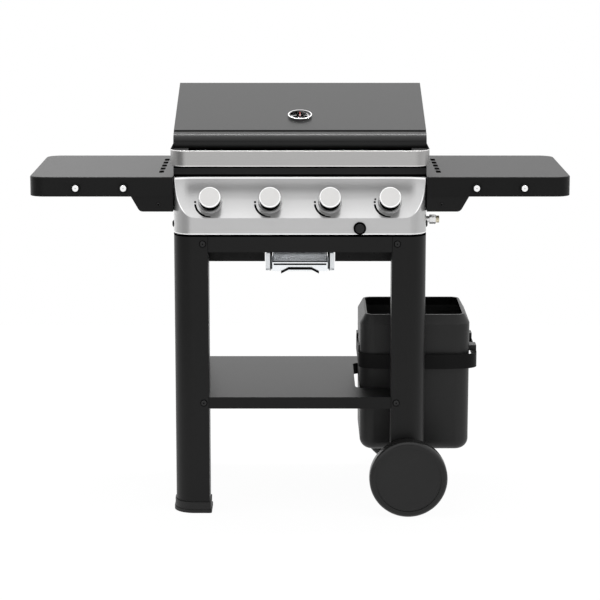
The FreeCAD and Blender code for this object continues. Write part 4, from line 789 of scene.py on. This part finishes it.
def on_scoop(x, across, up, lift):
    """Point on the panel's scoop, at a place measured from a knob's axis."""
    foot_y, foot_z = KNOB_FOOT
    y = foot_y + math.sin(KNOB_TILT) * up
    z = foot_z + math.cos(KNOB_TILT) * up
    out = Vector((-math.cos(KNOB_TILT), math.sin(KNOB_TILT)))
    start = Vector((y, z)) - Vector(SCOOP_CENTRE)
    beyond = max(0, abs(x + across) - SCOOP_END)
    rise = SCOOP_END_ROUND - math.sqrt(SCOOP_END_ROUND**2 - beyond**2)
    radius = SCOOP_RADIUS - rise - lift
    along = start.dot(out)
    reach = -along - math.sqrt(along * along - start.length_squared + radius * radius)
    spot = start + out * reach + Vector(SCOOP_CENTRE)
    return Vector((x + across, spot.x, spot.y)) * MM


def arc_solid(shape, spot, start, end, inner, outer, low, high):
    """Closed strip along an arc; spot gives the place of an angle, a radius and a height."""
    steps = max(2, math.ceil(abs(end - start) / 3))
    section = ((inner, low), (outer, low), (outer, high), (inner, high))
    rings = []
    for step in range(steps + 1):
        angle = math.radians(start + (end - start) * step / steps)
        rings.append([shape.verts.new(spot(angle, radius, height)) for radius, height in section])
    for before, after in zip(rings, rings[1:]):
        for a, b in ((0, 1), (1, 2), (2, 3), (3, 0)):
            shape.faces.new((before[a], before[b], after[b], after[a]))
    shape.faces.new(rings[0])
    shape.faces.new(rings[-1])


def finished(name, shape):
    """Mesh of a shape whose faces all point outwards."""
    bmesh.ops.recalc_face_normals(shape, faces=shape.faces)
    mesh = bpy.data.meshes.new(name)
    shape.to_mesh(mesh)
    shape.free()
    return mesh


def print_panel_marks():
    """Low-to-high arc and start dots beside each knob, about a centre a little below its axis."""
    shape = bmesh.new()
    for x in KNOB_PLACES:

        def spot(angle, radius, lift, x=x):
            return on_scoop(x, radius * math.cos(angle), radius * math.sin(angle) - MARK_DROP, lift)

        for arc in MARK_ARCS:
            arc_solid(shape, spot, *arc, *MARK_LEVELS)
        if x == KNOB_PLACES[-1]:
            arc_solid(shape, spot, *LAST_KNOB_ARC, *MARK_LEVELS)
    ink = paint("mark_ink", grey(0.001), 0.6, 0.02)
    add_piece("panel_marks", finished("panel_marks", shape), ink, "frame")


def on_dial(angle, radius, height):
    """Place on the thermometer, at an angle clockwise from the needle's rest."""
    return DIAL @ (Vector((radius * math.sin(angle), radius * math.cos(angle), height)) * MM)


def turned(name, profile, steps):
    """Closed ring turned round the dial's axis from a loop of radii and heights."""
    shape = bmesh.new()
    rings = []
    for step in range(steps):
        angle = 2 * math.pi * step / steps
        rings.append([shape.verts.new(on_dial(angle, radius, height)) for radius, height in profile])
    count = len(profile)
    for before, after in zip(rings, rings[1:] + rings[:1]):
        for a in range(count):
            b = (a + 1) % count
            shape.faces.new((before[a], before[b], after[b], after[a]))
    return finished(name, shape)


def print_numerals(shape):
    """Generic scale numbers, a quarter turn apart."""
    for quarter, text in enumerate(NUMERALS):
        curve = bpy.data.curves.new("numeral", "FONT")
        curve.body = text
        curve.size = NUMERAL_SIZE * MM
        curve.align_x = "CENTER"
        curve.align_y = "CENTER"
        curve.extrude = NUMERAL_DEPTH * MM
        holder = bpy.data.objects.new("numeral", curve)
        bpy.context.scene.collection.objects.link(holder)
        evaluated = holder.evaluated_get(bpy.context.evaluated_depsgraph_get())
        mesh = bpy.data.meshes.new_from_object(evaluated)
        bpy.data.objects.remove(holder)
        angle = math.pi / 2 * quarter
        across = NUMERAL_RADIUS * math.sin(angle)
        along = NUMERAL_RADIUS * math.cos(angle)
        spot = Vector((across, along, PRINT_MIDDLE)) * MM
        mesh.transform(DIAL @ Matrix.Translation(spot))
        shape.from_mesh(mesh)


def tick_ring(material):
    """Scale ticks round the dial, over the needle's whole sweep."""
    sizes = {"Count": 28, "Sweep": math.radians(DIAL_SWEEP), "Radius": 24.0 * MM}
    sizes |= {"Length": 3.4 * MM, "Width": 0.9 * MM, "Height": 0.1 * MM, "Level": PRINT_MIDDLE * MM}
    tree = Pattern("dial_ticks", sizes)
    count = tree.size("Count")
    row = tree.add("GeometryNodeMeshLine", None, {"Count": count})
    index = tree.add("GeometryNodeInputIndex")
    angle = index * (tree.size("Sweep") / (count - 1))
    across = angle.maths("SINE", angle) * tree.size("Radius")
    along = angle.maths("COSINE", angle) * tree.size("Radius")
    spot = tree.add("ShaderNodeCombineXYZ", None, {0: across, 1: along, 2: tree.size("Level")})
    points = tree.add("GeometryNodeSetPosition", None, {"Geometry": row, "Position": spot})
    inputs = {0: tree.size("Width"), 1: tree.size("Length"), 2: tree.size("Height")}
    box = tree.add("GeometryNodeMeshCube", None, {"Size": tree.add("ShaderNodeCombineXYZ", None, inputs)})
    turn = tree.add("ShaderNodeCombineXYZ", None, {2: 0 - angle})
    tree.set_out(points, box, turn, material)
    mesh = tree.grow(bpy.data.meshes.new("dial_ticks"))
    mesh.transform(DIAL)
    return mesh


def make_dial():
    """Black dial with white zones, ticks and numbers, and the pale collar of the needle."""
    black = paint("dial_black", grey(0.003), 0.6, 0.0)
    white = paint("dial_white", grey(0.8), 0.5, 0.05)
    low, high = FACE_LEVELS
    section = [(PIN_RADIUS, low), (FACE_RADIUS, low), (FACE_RADIUS, high), (PIN_RADIUS, high)]
    add_piece("dial_face", turned("dial_face", section, 72), black, "lid")
    low, high = COLLAR_LEVELS
    wide, narrow = COLLAR_RADII
    section = [(PIN_RADIUS, low), (wide, low), (narrow, high), (PIN_RADIUS, high)]
    add_piece("needle_collar", turned("needle_collar", section, 32), white, "needle")
    add_piece("dial_ticks", tick_ring(white), white, "lid")
    shape = bmesh.new()
    for start, end in ZONES:
        arc_solid(shape, on_dial, start, end, *ZONE_RADII, *PRINT_LEVELS)
    print_numerals(shape)
    add_piece("dial_numbers", finished("dial_numbers", shape), white, "lid")


def places_mesh(name, places):
    """Mesh of bare points, each with the way it faces."""
    mesh = bpy.data.meshes.new(name)
    mesh.from_pydata([place * MM for place, way in places], [], [])
    ways = mesh.attributes.new("facing", "FLOAT_VECTOR", "POINT")
    for slot, (place, way) in zip(ways.data, places):
        slot.vector = way
    return mesh


def fixing_marks(name, places, radius, sides, material):
    """Flat plug of painted shade for the sunk centre of each fixing, standing a hair proud of its head.
    """
    tree = Pattern(name, {"Sides": sides, "Radius": radius * MM, "Height": PLUG_DEPTH * MM})
    inputs = {"Vertices": tree.size("Sides"), "Radius": tree.size("Radius"), "Depth": tree.size("Height")}
    plug = tree.add("GeometryNodeMeshCylinder", None, inputs)
    tree.set_out(tree.size("Places"), plug, tree.facing(), material)
    add_piece(name, tree.grow(places_mesh(name, places)), material, "frame")


def fixing_rings(name, places, radius, wire, material):
    """Dark ring round each head: painted shade for the gap it sits in."""
    tree = Pattern(name, {"Radius": radius * MM, "Wire": wire * MM})
    circle = "GeometryNodeCurvePrimitiveCircle"
    path = tree.add(circle, None, {"Resolution": 32, "Radius": tree.size("Radius")})
    section = tree.add(circle, None, {"Resolution": 10, "Radius": tree.size("Wire")})
    ring = tree.add("GeometryNodeCurveToMesh", None, {"Curve": path, "Profile Curve": section})
    tree.set_out(tree.size("Places"), ring, tree.facing(), material)
    add_piece(name, tree.grow(places_mesh(name, places)), material, "frame")


def mark_fixings():
    """Hexagon sockets and rings round the screws, and dimples in the hook pegs, all as plugs and rings of
    painted shade.
    """
    sockets = []
    small = []
    dimples = []
    for side in (-1, 1):
        half = Matrix.Diagonal((side, 1, 1))
        sockets += [(half @ Vector(place), FRONT) for place in LEG_SCREWS]
        sockets.append((half @ Vector(SIDE_SCREW), Vector((side, 0, 0))))
        small.append((half @ Vector(SMALL_SCREW), FRONT))
        dimples += [(half @ Vector(place), FRONT) for place in PEGS]
    # Rings of painted shade stand a little behind each socket, round the screw's head.
    seats = [(place - way * SHADE_RING_DEPTH, way) for place, way in sockets]
    dark = paint("socket_dark", grey(0.001), 0.6, 0.0)
    grey_paint = paint("dimple_grey", grey(0.3), 0.5)
    fixing_marks("screw_sockets", sockets, SOCKET_RADIUS, SOCKET_SIDES, dark)
    fixing_rings("screw_seals", seats, SHADE_RING_RADIUS, SHADE_RING_WIRE, dark)
    fixing_marks("small_sockets", small, SMALL_SOCKET_RADIUS, SOCKET_SIDES, dark)
    fixing_marks("peg_dimples", dimples, DIMPLE_RADIUS, DIMPLE_SIDES, grey_paint)


def drill_burner_ports():
    """Two rows of gas ports along the upper flanks of each burner, as dark plugs of painted shade."""
    material = paint("port_dark", grey(0.002), 0.7)
    rows = []
    for x in KNOB_PLACES:
        for tilt in (-PORT_TILT, PORT_TILT):
            out = Vector((math.sin(tilt), 0, math.cos(tilt)))
            rows.append((Vector((x, PORTS_START, BURNER_LEVEL)) + out * BURNER_RADIUS, out))
    sizes = {"Count": 33, "Pitch": 10 * MM, "Radius": 1.3 * MM, "Height": PLUG_DEPTH * MM}
    tree = Pattern("burner_ports", sizes)
    step = tree.add("ShaderNodeCombineXYZ", None, {1: tree.size("Pitch")})
    line = tree.add("GeometryNodeMeshLine", None, {"Count": tree.size("Count"), "Offset": step})
    inputs = {"Points": tree.size("Places"), "Instance": line}
    lines = tree.add("GeometryNodeInstanceOnPoints", None, inputs)
    points = tree.add("GeometryNodeRealizeInstances", None, {0: lines})
    inputs = {"Vertices": 8, "Radius": tree.size("Radius"), "Depth": tree.size("Height")}
    hole = tree.add("GeometryNodeMeshCylinder", None, inputs)
    tree.set_out(points, hole, tree.facing(), material)
    mesh = tree.grow(places_mesh("burner_ports", rows))
    add_piece("burner_ports", mesh, material, "frame")


dress_nodes()
set_camera()
set_floor()
set_world()
set_lamps()
print_panel_marks()
make_dial()
mark_fixings()
drill_burner_ports()

bpy.context.scene.view_settings.view_transform = "Standard"
